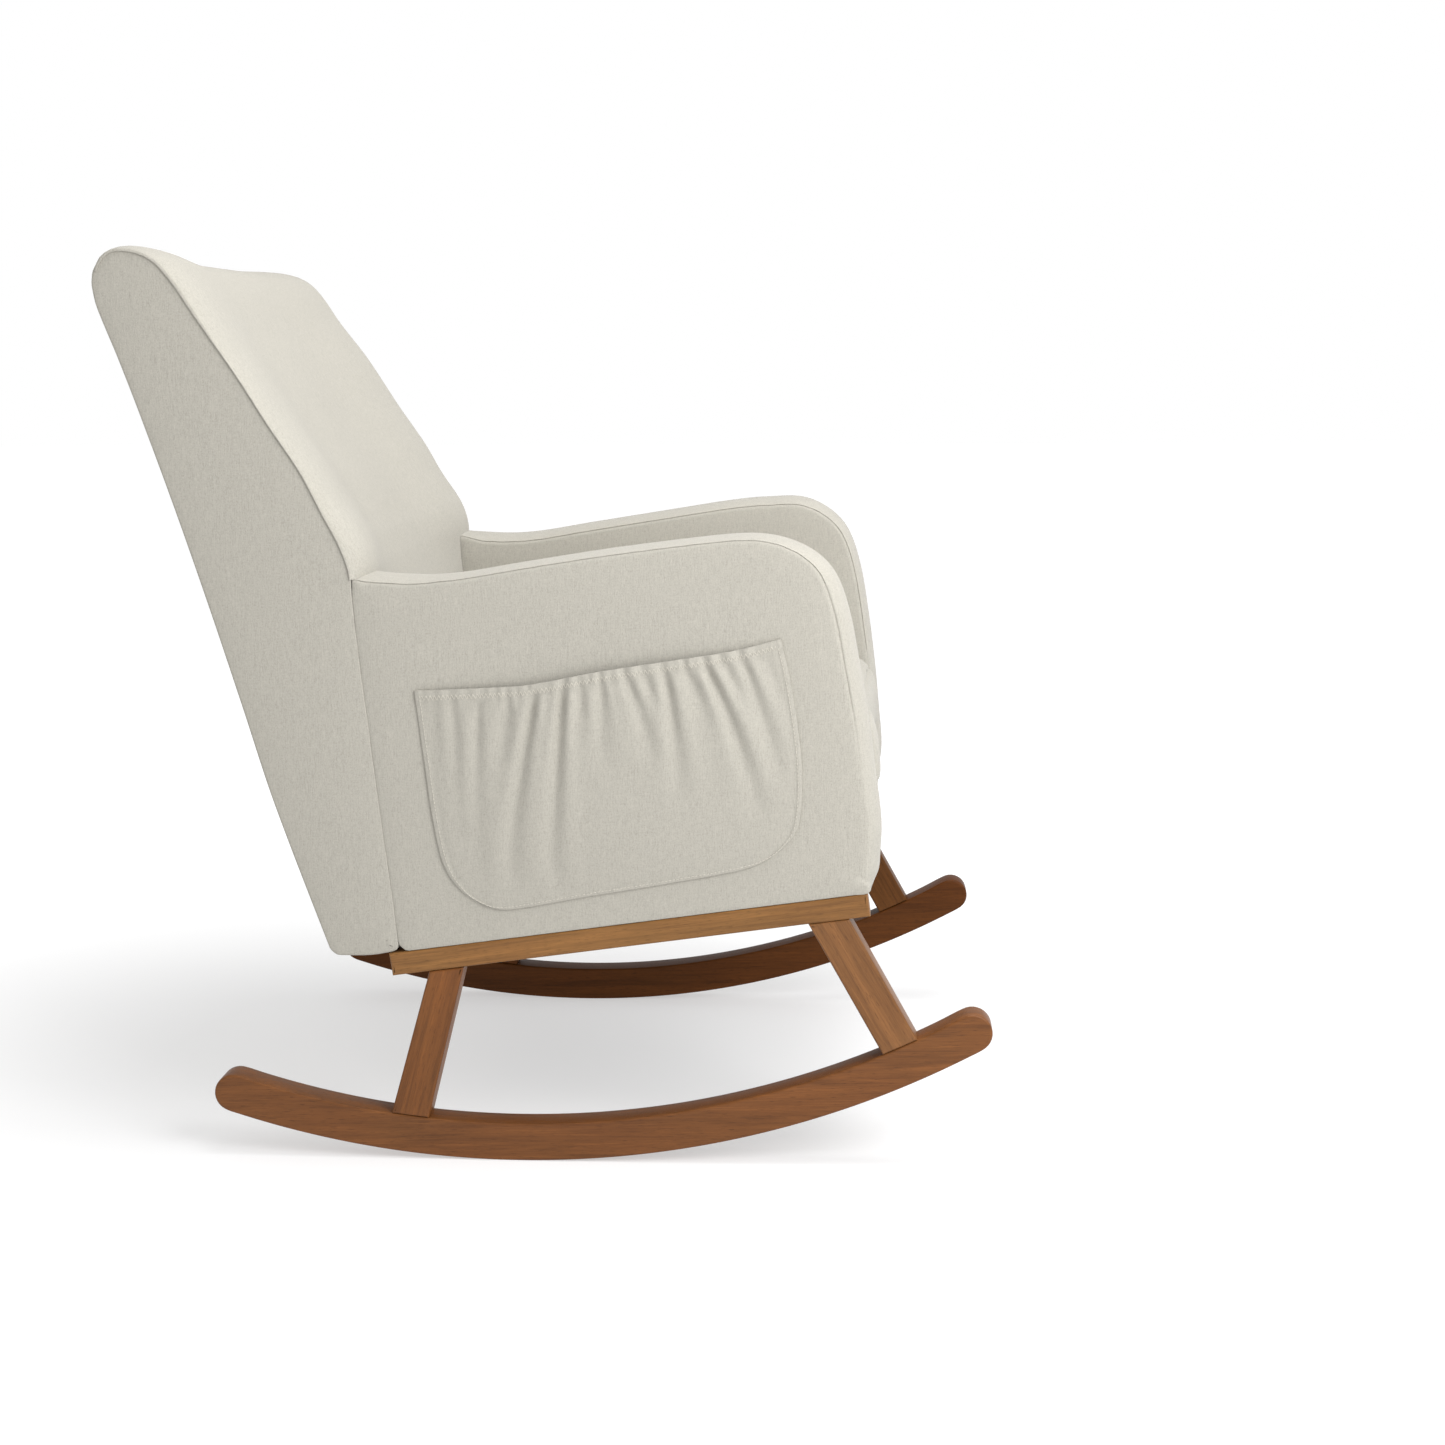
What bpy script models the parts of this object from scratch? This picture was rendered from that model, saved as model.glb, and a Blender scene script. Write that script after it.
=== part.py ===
"""Upholstered nursery rocking chair on two curved wooden rockers.

Frame: +Z up, the chair faces -Y, origin on the floor under the middle of the chair.
Side outlines are written as (forward, height) pairs in metres; forward is -Y.
"""
import math

import bmesh
import bpy
from mathutils import Vector

for item in list(bpy.data.objects):
    bpy.data.objects.remove(item, do_unlink=True)

# ---------------------------------------------------------------- driving dimensions
GAP = 0.0003             # clearance between pieces that touch

HALF_WIDTH = 0.327       # outer face of rockers, legs and side rails
WOOD_THICK = 0.035       # rockers, legs and side rails, across the chair
ROCKER_RADIUS = 1.027    # underside of the rocker
ROCKER_DEPTH = 0.042     # height of the rocker section
ROCKER_LOW = -0.044      # forward position of the lowest point
ROCKER_FRONT = 30.65     # degrees from the lowest point to the front tip
ROCKER_REAR = -19.4      # degrees from the lowest point to the rear tip
ROCKER_FACET = 0.72      # degrees per facet of the underside

SEAT_TILT = math.radians(7.9)   # slope of the side rails and of the seat
RAIL_TOP = 0.2505               # height of the rail's top edge at s = 0
RAIL_ZERO = -0.048              # forward position of s = 0
RAIL_DEPTH = 0.025
RAIL_REAR, RAIL_FRONT = -0.1335, 0.3885

ARM_OUTER = 0.329
ARM_INNER = 0.2425
WING_INNER = 0.2425
EDGE_ROUND = 0.010
BOARD_THICK = 0.018

BACK_LEAN = math.radians(17.5)  # lean of the back's rear face
BACK_ZERO = (-0.247, 0.246)     # foot of the rear face
PANEL_THICK = 0.010
POST_DEPTH = 0.024

FRAME_HALF = 0.2412      # half width of the sprung seat frame
FRAME_HEIGHT = 0.060
FRAME_THICK = 0.022

CUSHION_HALF = 0.2393
CUSHION_REAR, CUSHION_FRONT = -0.0945, 0.425
CUSHION_LOW, CUSHION_HIGH = 0.0765, 0.185

DOWEL_RADIUS = 0.0049
HOLE_RADIUS = 0.0052
BOLT_RADIUS = 0.0040
BOLT_HOLE = 0.0043

POCKET_BULGE = 0.015
POCKET_CLOTH = 0.0022

SIDES = (("left", 1), ("right", -1))

# ---------------------------------------------------------------- materials
WOOD = ((0.300, 0.135, 0.062), 0.42)
WOOD_INNER = ((0.560, 0.410, 0.250), 0.65)
FABRIC = ((0.660, 0.630, 0.570), 0.95)
LINING = ((0.060, 0.060, 0.062), 0.90)
WEB = ((0.420, 0.330, 0.200), 0.90)
STEEL = ((0.550, 0.560, 0.570), 0.35)


def material(obj, look, metallic=0.0):
    colour, roughness = look
    mat = bpy.data.materials.new(obj.name)
    mat.use_nodes = True
    shader = mat.node_tree.nodes["Principled BSDF"]
    shader.inputs["Base Color"].default_value = (*colour, 1.0)
    shader.inputs["Roughness"].default_value = roughness
    shader.inputs["Metallic"].default_value = metallic
    obj.data.materials.append(mat)


def finish(name, bm, look, metallic=0.0):
    """Turn a bmesh into a named object with outward faces and its own material."""
    bmesh.ops.remove_doubles(bm, verts=bm.verts, dist=1e-6)
    bmesh.ops.recalc_face_normals(bm, faces=bm.faces)
    bmesh.ops.triangulate(bm, faces=bm.faces)
    mesh = bpy.data.meshes.new(name)
    bm.to_mesh(mesh)
    bm.free()
    obj = bpy.data.objects.new(name, mesh)
    bpy.context.collection.objects.link(obj)
    if look is not None:
        material(obj, look, metallic)
    return obj


# ---------------------------------------------------------------- outlines
def seat(s, t):
    """Point in the tilted frame of the seat: s forward along the rail, t square to it."""
    return (RAIL_ZERO + s * math.cos(SEAT_TILT) - t * math.sin(SEAT_TILT),
            RAIL_TOP + s * math.sin(SEAT_TILT) + t * math.cos(SEAT_TILT))


def back(along, depth):
    """Point in the leaning frame of the back: up along the rear face, depth forward."""
    return (BACK_ZERO[0] - along * math.sin(BACK_LEAN) + depth * math.cos(BACK_LEAN),
            BACK_ZERO[1] + along * math.cos(BACK_LEAN) + depth * math.sin(BACK_LEAN))


def spline(points, steps):
    """Catmull-Rom curve through the points, ends included."""
    out = []
    last = len(points) - 1
    for i in range(last):
        a = points[max(i - 1, 0)]
        b, c = points[i], points[i + 1]
        d = points[min(i + 2, last)]
        for k in range(steps):
            u = k / steps
            out.append(tuple(
                0.5 * (2 * b[j] + (c[j] - a[j]) * u
                       + (2 * a[j] - 5 * b[j] + 4 * c[j] - d[j]) * u * u
                       + (3 * b[j] - a[j] - 3 * c[j] + d[j]) * u ** 3)
                for j in (0, 1)))
    out.append(tuple(points[-1]))
    return out


def fillet(before, corner, after, radius, steps=4):
    """Arc that rounds one corner."""
    corner = Vector(corner)
    one = (Vector(before) - corner).normalized()
    two = (Vector(after) - corner).normalized()
    half = one.angle(two) / 2
    reach = radius / math.tan(half)
    centre = corner + (one + two).normalized() * (radius / math.sin(half))
    start = corner + one * reach - centre
    end = corner + two * reach - centre
    turn = start.angle_signed(end)
    out = []
    for k in range(steps + 1):
        angle = -turn * k / steps
        out.append((centre.x + start.x * math.cos(angle) - start.y * math.sin(angle),
                    centre.y + start.x * math.sin(angle) + start.y * math.cos(angle)))
    return out


def inset(outline, amount):
    """Move every point of a closed outline inward."""
    count = len(outline)
    area = sum(outline[i][0] * outline[(i + 1) % count][1]
               - outline[(i + 1) % count][0] * outline[i][1] for i in range(count))
    turn = 1 if area > 0 else -1
    out = []
    for i in range(count):
        here = Vector(outline[i])
        one = (here - Vector(outline[i - 1])).normalized()
        two = (Vector(outline[(i + 1) % count]) - here).normalized()
        mid = (one + two).normalized()
        normal = Vector((-mid.y, mid.x)) * turn
        scale = 1 / max(0.5, mid.dot(one))
        out.append(tuple(here + normal * amount * scale))
    return out


# ---------------------------------------------------------------- solids
def loft(name, rings, look, metallic=0.0):
    """Closed solid through rings of 3-D points, capped at both ends."""
    bm = bmesh.new()
    made = [[bm.verts.new(p) for p in ring] for ring in rings]
    count = len(rings[0])
    for low, high in zip(made, made[1:]):
        for i in range(count):
            j = (i + 1) % count
            bm.faces.new((low[i], low[j], high[j], high[i]))
    bm.faces.new(made[0])
    bm.faces.new(made[-1])
    return finish(name, bm, look, metallic)


def slab(name, outline, x0, x1, look, metallic=0.0):
    """Side outline pushed straight across the chair from x0 to x1."""
    rings = [[(x, -f, z) for f, z in outline] for x in (x0, x1)]
    return loft(name, rings, look, metallic)


def cushion_slab(name, outline, x0, x1, look, radius=EDGE_ROUND, steps=3):
    """Slab whose edges are rounded where the cover turns over them."""
    way = 1 if x1 > x0 else -1
    start = [(x0 + way * radius * (1 - math.cos(math.pi / 2 * k / steps)),
              radius * (1 - math.sin(math.pi / 2 * k / steps))) for k in range(steps + 1)]
    end = [(x1 - (x - x0), depth) for x, depth in reversed(start)]
    rings = start + end
    return loft(name, [[(x, -f, z) for f, z in inset(outline, depth)] for x, depth in rings], look)


def beam(name, low, high, x0, x1, look, place=seat):
    """Straight box in one of the tilted frames: low and high are opposite (a, b) corners."""
    outline = [place(low[0], low[1]), place(high[0], low[1]),
               place(high[0], high[1]), place(low[0], high[1])]
    return slab(name, outline, x0, x1, look)


def rod(name, start, end, radius, look, sides=12, metallic=0.0):
    start, end = Vector(start), Vector(end)
    axis = (end - start).normalized()
    one = axis.orthogonal().normalized()
    two = axis.cross(one)
    ring = [one * radius * math.cos(2 * math.pi * k / sides)
            + two * radius * math.sin(2 * math.pi * k / sides) for k in range(sides)]
    return loft(name, [[start + p for p in ring], [end + p for p in ring]], look, metallic)


def cut(target, cutters):
    """Take the cutters away from the target; they stay hidden in the file."""
    for cutter in cutters:
        cutter.hide_render = True
        cutter.display_type = "WIRE"
        step = target.modifiers.new(cutter.name, "BOOLEAN")
        step.operation = "DIFFERENCE"
        step.solver = "EXACT"
        step.object = cutter


def tube(name, path, radius, look, sides=5, metallic=0.0):
    """Round wire along a path that stays in one plane."""
    path = [Vector(p) for p in path]
    up = (path[1] - path[0]).cross(path[2] - path[1])
    for i in range(2, len(path) - 1):
        if up.length > 1e-9:
            break
        up = (path[i] - path[i - 1]).cross(path[i + 1] - path[i])
    up.normalize()
    rings = []
    for i, here in enumerate(path):
        ahead = path[min(i + 1, len(path) - 1)] - here
        behind = here - path[max(i - 1, 0)]
        way = (ahead.normalized() + behind.normalized()).normalized()
        side = way.cross(up).normalized()
        rings.append([here + side * radius * math.cos(2 * math.pi * k / sides)
                      + up * radius * math.sin(2 * math.pi * k / sides) for k in range(sides)])
    return loft(name, rings, look, metallic)


# ---------------------------------------------------------------- rockers and legs
ROCKER_AXIS = (ROCKER_LOW, ROCKER_RADIUS)


def on_arc(radius, degrees):
    angle = math.radians(degrees)
    return (ROCKER_AXIS[0] + radius * math.sin(angle), ROCKER_AXIS[1] - radius * math.cos(angle))


def rocker_outline():
    """Band between two arcs with fully rounded ends; one facet lies flat on the floor."""
    middle = ROCKER_RADIUS - ROCKER_DEPTH / 2
    tip = math.degrees(ROCKER_DEPTH / 2 / middle)
    first, last = ROCKER_REAR + tip, ROCKER_FRONT - tip
    before = int(-first / ROCKER_FACET)
    after = int(last / ROCKER_FACET)
    stops = [first] + [(k + 0.5) * ROCKER_FACET for k in range(-before, after)] + [last]
    flat = ROCKER_RADIUS / math.cos(math.radians(ROCKER_FACET / 2))
    outline = [on_arc(flat, a) for a in stops]
    for degrees, way, sign in ((last, 1, 1), (first, -1, -1)):
        centre = Vector(on_arc(middle, degrees))
        slope = math.radians(degrees)
        along = Vector((math.cos(slope), math.sin(slope))) * way
        down = Vector((math.sin(slope), -math.cos(slope))) * sign
        cap = [centre + (along * math.sin(a) + down * math.cos(a)) * (ROCKER_DEPTH / 2)
               for a in (math.pi * k / 8 for k in range(1, 8))]
        outline += [tuple(p) for p in cap]
        if way == 1:
            outline += [on_arc(ROCKER_RADIUS - ROCKER_DEPTH, a) for a in reversed(stops[::2])]
    return outline


def leg_outline(rear_line, front_line):
    """Flat-sided leg between the rocker's upper arc and the side rail's lower edge."""
    def along(line, z):
        (f0, z0), (f1, z1) = line
        return f0 + (f1 - f0) * (z - z0) / (z1 - z0)

    def meet_rocker(line):
        z = line[0][1]
        reach = ROCKER_RADIUS - ROCKER_DEPTH - GAP
        for _ in range(30):
            f = along(line, z)
            z = ROCKER_AXIS[1] - math.sqrt(reach ** 2 - (f - ROCKER_AXIS[0]) ** 2)
        return along(line, z)

    def meet_rail(line):
        z = line[1][1]
        for _ in range(30):
            f = along(line, z)
            z = RAIL_TOP + (f - RAIL_ZERO) * math.tan(SEAT_TILT) \
                - (RAIL_DEPTH + GAP) / math.cos(SEAT_TILT)
        return (along(line, z), z)

    reach = ROCKER_RADIUS - ROCKER_DEPTH - GAP
    a, b = meet_rocker(rear_line), meet_rocker(front_line)
    foot = []
    for k in range(5):
        f = a + (b - a) * k / 4
        foot.append((f, ROCKER_AXIS[1] - math.sqrt(reach ** 2 - (f - ROCKER_AXIS[0]) ** 2)))
    return foot + [meet_rail(front_line), meet_rail(rear_line)]


# each leg: rear edge line and front edge line, from foot to head
LEGS = {
    "rear": (((-0.182, 0.054), (-0.1365, 0.213)), ((-0.141, 0.050), (-0.0985, 0.218))),
    "front": (((0.355, 0.125), (0.274, 0.270)), ((0.394, 0.138), (0.3175, 0.276))),
}

for side, sign in SIDES:
    outer = sign * HALF_WIDTH
    inner = sign * (HALF_WIDTH - WOOD_THICK)
    middle = (outer + inner) / 2
    rocker = slab("rocker_" + side, rocker_outline(), inner, outer, WOOD)
    rail = beam("side_rail_" + side, (RAIL_REAR, -RAIL_DEPTH), (RAIL_FRONT, 0.0),
                inner, outer, WOOD)
    for end, lines in LEGS.items():
        leg = slab("leg_%s_%s" % (end, side), leg_outline(*lines), inner, outer, WOOD)
        foot = (Vector(lines[0][0]) + Vector(lines[1][0])) / 2
        head = (Vector(lines[0][1]) + Vector(lines[1][1])) / 2
        way = (head - foot).normalized()
        rocker_hit = leg_outline(*lines)[2]
        mean = [Vector(p) for p in leg_outline(*lines)]
        rail_hit = (mean[5] + mean[6]) / 2
        for label, centre, below, above, other in (
                ("foot", Vector(rocker_hit), 0.018, 0.024, rocker),
                ("head", rail_hit, 0.024, 0.014, rail)):
            a, b = centre - way * below, centre + way * above
            a3, b3 = (middle, -a.x, a.y), (middle, -b.x, b.y)
            rod("dowel_%s_%s_%s" % (end, label, side), a3, b3, DOWEL_RADIUS, WOOD_INNER)
            a, b = a - way * 0.0006, b + way * 0.0006
            hole = rod("cut_%s_%s_%s" % (end, label, side), (middle, -a.x, a.y),
                       (middle, -b.x, b.y), HOLE_RADIUS, None)
            cut(leg, [hole])
            cut(other, [hole])

# ---------------------------------------------------------------- base cross rails
CROSS_HALF = HALF_WIDTH - WOOD_THICK - GAP
for end, s0, s1 in (("front", 0.352, 0.374), ("rear", -0.118, -0.096)):
    beam("cross_rail_" + end, (s0, -RAIL_DEPTH), (s1, -GAP), -CROSS_HALF, CROSS_HALF, WOOD)
    for side, sign in SIDES:
        edge = s0 - GAP if end == "front" else s1 + GAP
        reach = -0.045 if end == "front" else 0.045
        rings = []
        for t in (-RAIL_DEPTH + 0.001, -0.001):
            corners = ((CROSS_HALF, edge), (CROSS_HALF, edge + reach), (CROSS_HALF - 0.045, edge))
            ring = []
            for x, s in corners:
                f, z = seat(s, t)
                ring.append((sign * x, -f, z))
            rings.append(ring)
        loft("corner_block_%s_%s" % (end, side), rings, WOOD_INNER)

# ---------------------------------------------------------------- sprung seat frame
FRONT_S = (0.358, 0.380)
REAR_S = (-0.152, -0.130)
seat_rails = {}
for end, (s0, s1) in (("front", FRONT_S), ("rear", REAR_S)):
    seat_rails[end] = beam("seat_frame_" + end, (s0, GAP), (s1, FRAME_HEIGHT),
                           -FRAME_HALF, FRAME_HALF, WOOD_INNER)
for side, sign in SIDES:
    seat_rails[side] = beam("seat_frame_" + side, (REAR_S[1] + GAP, GAP),
                            (FRONT_S[0] - GAP, FRAME_HEIGHT),
                            sign * (FRAME_HALF - FRAME_THICK), sign * FRAME_HALF, WOOD_INNER)

SPRING_WIRE = 0.0018
SPRING_WAVES = 11
for number, centre in enumerate((-0.150, -0.050, 0.050, 0.150), start=1):
    path = []
    total = SPRING_WAVES * 4
    start, end = REAR_S[0] + 0.008, FRONT_S[1] - 0.008
    for k in range(total + 1):
        phase = math.pi * SPRING_WAVES * k / total
        s = start + (end - start) * k / total
        fade = min(1.0, min(k, total - k) / 2)
        f, z = seat(s, FRAME_HEIGHT + SPRING_WIRE + GAP)
        path.append((centre + 0.020 * fade * math.sin(phase), -f, z))
    tube("seat_spring_%d" % number, path, SPRING_WIRE, STEEL, metallic=1.0)

beam("spring_cover", (REAR_S[0], 0.0645), (FRONT_S[1], 0.0755), -FRAME_HALF, FRAME_HALF, WEB)
apron = [seat(0.3805, -0.001), seat(0.396, -0.001), seat(0.3985, 0.010), seat(0.3985, 0.062),
         seat(0.396, 0.0755), seat(0.3805, 0.0755)]
slab("front_apron", apron, -FRAME_HALF, FRAME_HALF, FABRIC)
beam("dust_cover", (-0.094, -0.0015), (0.350, -GAP), -FRAME_HALF, FRAME_HALF, LINING)

# ---------------------------------------------------------------- loose seat cushion


def plan_ring(depth, t):
    """Rounded rectangle in the seat plane at height t, drawn in by depth."""
    half = CUSHION_HALF - depth
    s0, s1 = CUSHION_REAR + depth, CUSHION_FRONT - depth
    ring = []
    for sx, sy, turn in ((1, s1, 0), (-1, s1, 1), (-1, s0, 2), (1, s0, 3)):
        round_r = (0.035 if sy == s1 else 0.018)
        round_r = max(0.008, round_r - depth * 0.4)
        cx = sx * (half - round_r)
        cs = sy - round_r if sy == s1 else sy + round_r
        for k in range(5):
            angle = math.pi / 2 * (turn + k / 4)
            f, z = seat(cs + round_r * math.sin(angle), t)
            ring.append((cx + round_r * math.cos(angle), -f, z))
    return ring


LEVELS = ((0.014, CUSHION_LOW), (0.004, CUSHION_LOW + 0.006), (0.0, CUSHION_LOW + 0.018),
          (0.0, CUSHION_HIGH - 0.030), (0.004, CUSHION_HIGH - 0.014), (0.014, CUSHION_HIGH - 0.004),
          (0.030, CUSHION_HIGH + 0.002), (0.090, CUSHION_HIGH + 0.009),
          (0.170, CUSHION_HIGH + 0.012))
loft("seat_cushion", [plan_ring(depth, t) for depth, t in LEVELS], FABRIC)

# ---------------------------------------------------------------- arms
ARM_CREST = [(-0.192, 0.6425), (-0.160, 0.6405), (-0.125, 0.6400), (-0.085, 0.6440), (-0.035, 0.6525),
             (0.072, 0.6695), (0.152, 0.6820), (0.200, 0.6870), (0.232, 0.6860), (0.258, 0.6795),
             (0.281, 0.6680), (0.3005, 0.6500), (0.3135, 0.6240), (0.3235, 0.5870), (0.3300, 0.5480),
             (0.3360, 0.5060), (0.3420, 0.4550), (0.3465, 0.4050), (0.3498, 0.3650), (0.3490, 0.3250)]
ARM_REAR = [(-0.2067, 0.612), (-0.2007, 0.540), (-0.1934, 0.470), (-0.1850, 0.390), (-0.1737, 0.290)]


def arm_outline():
    """Arm seen from the side: gently rising top, large front curve, sloping foot."""
    heel, toe = seat(-0.1210, 0.0015), seat(0.372, 0.0015)
    outline = spline(ARM_CREST, 2)
    outline += fillet(outline[-1], (0.342, toe[1] + 0.002), toe, 0.014)
    outline += [toe]
    outline += fillet(toe, heel, ARM_REAR[-1], 0.0105)
    outline += [p for p in reversed(ARM_REAR)]
    outline += fillet(ARM_REAR[0], (-0.2070, 0.6430), ARM_CREST[0], 0.0105, steps=3)
    return outline


ARM_SIDE = arm_outline()
BOARD = [seat(-0.055, 0.0025), seat(0.335, 0.0025), (0.292, 0.500), (0.258, 0.610),
         (0.190, 0.640), (-0.100, 0.600), (-0.140, 0.560)]


def slot_outline():
    """Room for the board inside the arm's padding, open at the foot."""
    outline = [Vector(p) for p in inset(BOARD, -0.0005)]
    for index, neighbour in ((0, 6), (1, 2)):
        outline[index] += (outline[index] - outline[neighbour]).normalized() * 0.030
    return [tuple(p) for p in outline]


arms, boards = {}, {}
for side, sign in SIDES:
    arms[side] = cushion_slab("arm_pad_" + side, ARM_SIDE, sign * ARM_OUTER, sign * ARM_INNER, FABRIC)
    core = (ARM_OUTER + ARM_INNER) / 2
    x0, x1 = sign * (core - BOARD_THICK / 2), sign * (core + BOARD_THICK / 2)
    extra = sign * 0.0004
    slot = slab("cut_arm_slot_" + side, slot_outline(), x0 - extra, x1 + extra, None)
    cut(arms[side], [slot])
    boards[side] = slab("arm_board_" + side, BOARD, x0, x1, WOOD_INNER)
    for end, s in (("front", 0.285), ("rear", 0.030)):
        f, z = seat(s, 0.034)
        start = (sign * (FRAME_HALF - FRAME_THICK + 0.004), -f, z)
        stop = (sign * (core + 0.004), -f, z)
        rod("arm_bolt_%s_%s" % (end, side), start, stop, BOLT_RADIUS, STEEL, metallic=1.0)
        hole = rod("cut_arm_bolt_%s_%s" % (end, side), (sign * 0.200, -f, z),
                   (sign * (core + 0.005), -f, z), BOLT_HOLE, None)
        for piece in (seat_rails[side], arms[side], boards[side]):
            cut(piece, [hole])

# ---------------------------------------------------------------- back: wings
WING_CREST = [(-0.4697, 0.945), (-0.4680, 0.960), (-0.4610, 0.974), (-0.4500, 0.982), (-0.437, 0.9845),
              (-0.420, 0.982), (-0.404, 0.976), (-0.3885, 0.9645), (-0.372, 0.9435), (-0.353, 0.9125),
              (-0.317, 0.857), (-0.283, 0.804), (-0.250, 0.756), (-0.226, 0.711), (-0.212, 0.678),
              (-0.208, 0.652), (-0.2083, 0.632), (-0.2070, 0.600), (-0.2020, 0.545), (-0.1942, 0.470),
              (-0.1858, 0.390), (-0.1745, 0.290)]
BELLY = (0.0055, 0.0030, 0.0010, 0.0005, 0.0020, 0.0050)   # fullness of the side's rear edge


def wing_outline():
    """Wing and side of the back seen from the side: widest just above the arm."""
    foot = back(0.040, -0.0055)
    toe, sole, heel = (-0.1695, 0.2352), (-0.200, 0.2300), (-0.2420, 0.2290)
    outline = spline(WING_CREST, 2)
    outline += fillet(WING_CREST[-1], toe, sole, 0.008)
    outline += [sole]
    outline += fillet(sole, heel, foot, 0.013)
    outline += [back(0.05 + 0.66 * (k + 1) / 6, -full) for k, full in enumerate(BELLY)]
    return outline


WING_SIDE = wing_outline()
for side, sign in SIDES:
    cushion_slab("wing_" + side, WING_SIDE, sign * ARM_OUTER, sign * WING_INNER, FABRIC)

# ---------------------------------------------------------------- back: frame, webbing, pad
INSIDE = WING_INNER - 0.0006
beam("back_panel", (0.004, 0.0), (0.745, PANEL_THICK), -INSIDE, INSIDE, FABRIC, place=back)
FRAME_D = (PANEL_THICK + 0.0005, PANEL_THICK + 0.0005 + POST_DEPTH)
for side, sign in SIDES:
    post = beam("back_post_" + side, (0.015, FRAME_D[0]), (0.700, FRAME_D[1]),
                sign * 0.196, sign * 0.2405, WOOD_INNER, place=back)
    f, z = seat(REAR_S[0] + 0.011, 0.034)
    rod("back_bolt_" + side, (sign * 0.219, -(f + 0.004), z), (sign * 0.219, -(f - 0.044), z),
        BOLT_RADIUS, STEEL, metallic=1.0)
    hole = rod("cut_back_bolt_" + side, (sign * 0.219, -(f + 0.006), z),
               (sign * 0.219, -(f - 0.046), z), BOLT_HOLE, None)
    cut(post, [hole])
    cut(seat_rails["rear"], [hole])
for label, low, high in (("top", 0.650, 0.700), ("middle", 0.380, 0.425), ("low", 0.110, 0.155)):
    beam("back_rail_" + label, (low, FRAME_D[0]), (high, FRAME_D[1]),
         -(0.196 - GAP), 0.196 - GAP, WOOD_INNER, place=back)
for number, low in enumerate((0.230, 0.330, 0.470, 0.570), start=1):
    beam("back_web_%d" % number, (low, FRAME_D[1] + GAP), (low + 0.050, FRAME_D[1] + 0.0018),
         -0.239, 0.239, WEB, place=back)

PAD_D = FRAME_D[1] + 0.0024
PAD_FACE = [(-0.4085, 0.968), (-0.3955, 0.954), (-0.3817, 0.934), (-0.3671, 0.9025), (-0.3347, 0.847),
            (-0.3030, 0.7925), (-0.2704, 0.7405), (-0.2430, 0.694), (-0.2190, 0.645), (-0.2005, 0.580),
            (-0.1830, 0.500), (-0.1712, 0.430), (-0.164, 0.370)]


def pad_outline():
    """Inner back seen from the side: hooked over the frame's top rail, fuller low down."""
    outline = [back(0.712, PAD_D), back(0.712, FRAME_D[0]), back(0.740, FRAME_D[0])]
    outline += [(-0.452, 0.966), (-0.441, 0.974), (-0.430, 0.9755), (-0.418, 0.974)]
    outline += spline(PAD_FACE, 2)
    outline += [(-0.1615, 0.345), (-0.1655, 0.330), (-0.185, 0.328)]
    outline += [back(0.075, PAD_D)]
    return outline


slab("back_pad", pad_outline(), -INSIDE, INSIDE, FABRIC)

# ---------------------------------------------------------------- side pockets
POCKET_TOP = [(-0.143, 0.521), (-0.062, 0.525), (-0.016, 0.529), (0.056, 0.543), (0.141, 0.556),
              (0.197, 0.565), (0.245, 0.577)]
POCKET_LEFT = [(-0.143, 0.521), (-0.135, 0.449), (-0.127, 0.382), (-0.116, 0.331), (-0.096, 0.302),
               (-0.070, 0.287)]
POCKET_RIGHT = [(0.245, 0.577), (0.256, 0.528), (0.266, 0.457), (0.267, 0.405), (0.260, 0.370),
                (0.236, 0.344)]
POCKET_LOW = [(-0.070, 0.287), (-0.044, 0.284), (0.038, 0.299), (0.124, 0.314), (0.204, 0.330),
              (0.236, 0.344)]
ACROSS, DOWN = 14, 8


def sample(points, amount):
    """Point at a share of the way along a polyline."""
    lengths = [math.dist(a, b) for a, b in zip(points, points[1:])]
    want = amount * sum(lengths)
    for (a, b), length in zip(zip(points, points[1:]), lengths):
        if want <= length or b is points[-1]:
            u = min(1.0, want / length)
            return tuple(a[j] + (b[j] - a[j]) * u for j in (0, 1))
        want -= length


def pocket_point(u, v):
    """Coons patch over the pocket's front: u from rear to front, v from mouth to bottom."""
    top, low = sample(POCKET_TOP, u), sample(POCKET_LOW, u)
    left, right = sample(POCKET_LEFT, v), sample(POCKET_RIGHT, v)
    corner = [[POCKET_TOP[0], POCKET_TOP[-1]], [POCKET_LOW[0], POCKET_LOW[-1]]]
    flat = []
    for j in (0, 1):
        value = (1 - v) * top[j] + v * low[j] + (1 - u) * left[j] + u * right[j]
        value -= ((1 - u) * (1 - v) * corner[0][0][j] + u * (1 - v) * corner[0][1][j]
                  + (1 - u) * v * corner[1][0][j] + u * v * corner[1][1][j])
        flat.append(value)
    lift = POCKET_BULGE * math.sin(math.pi * u) ** 0.6 * math.cos(math.pi / 2 * v) ** 0.7 \
        if 0 < u < 1 and v < 1 else 0.0
    return flat[0], flat[1], lift


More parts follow.
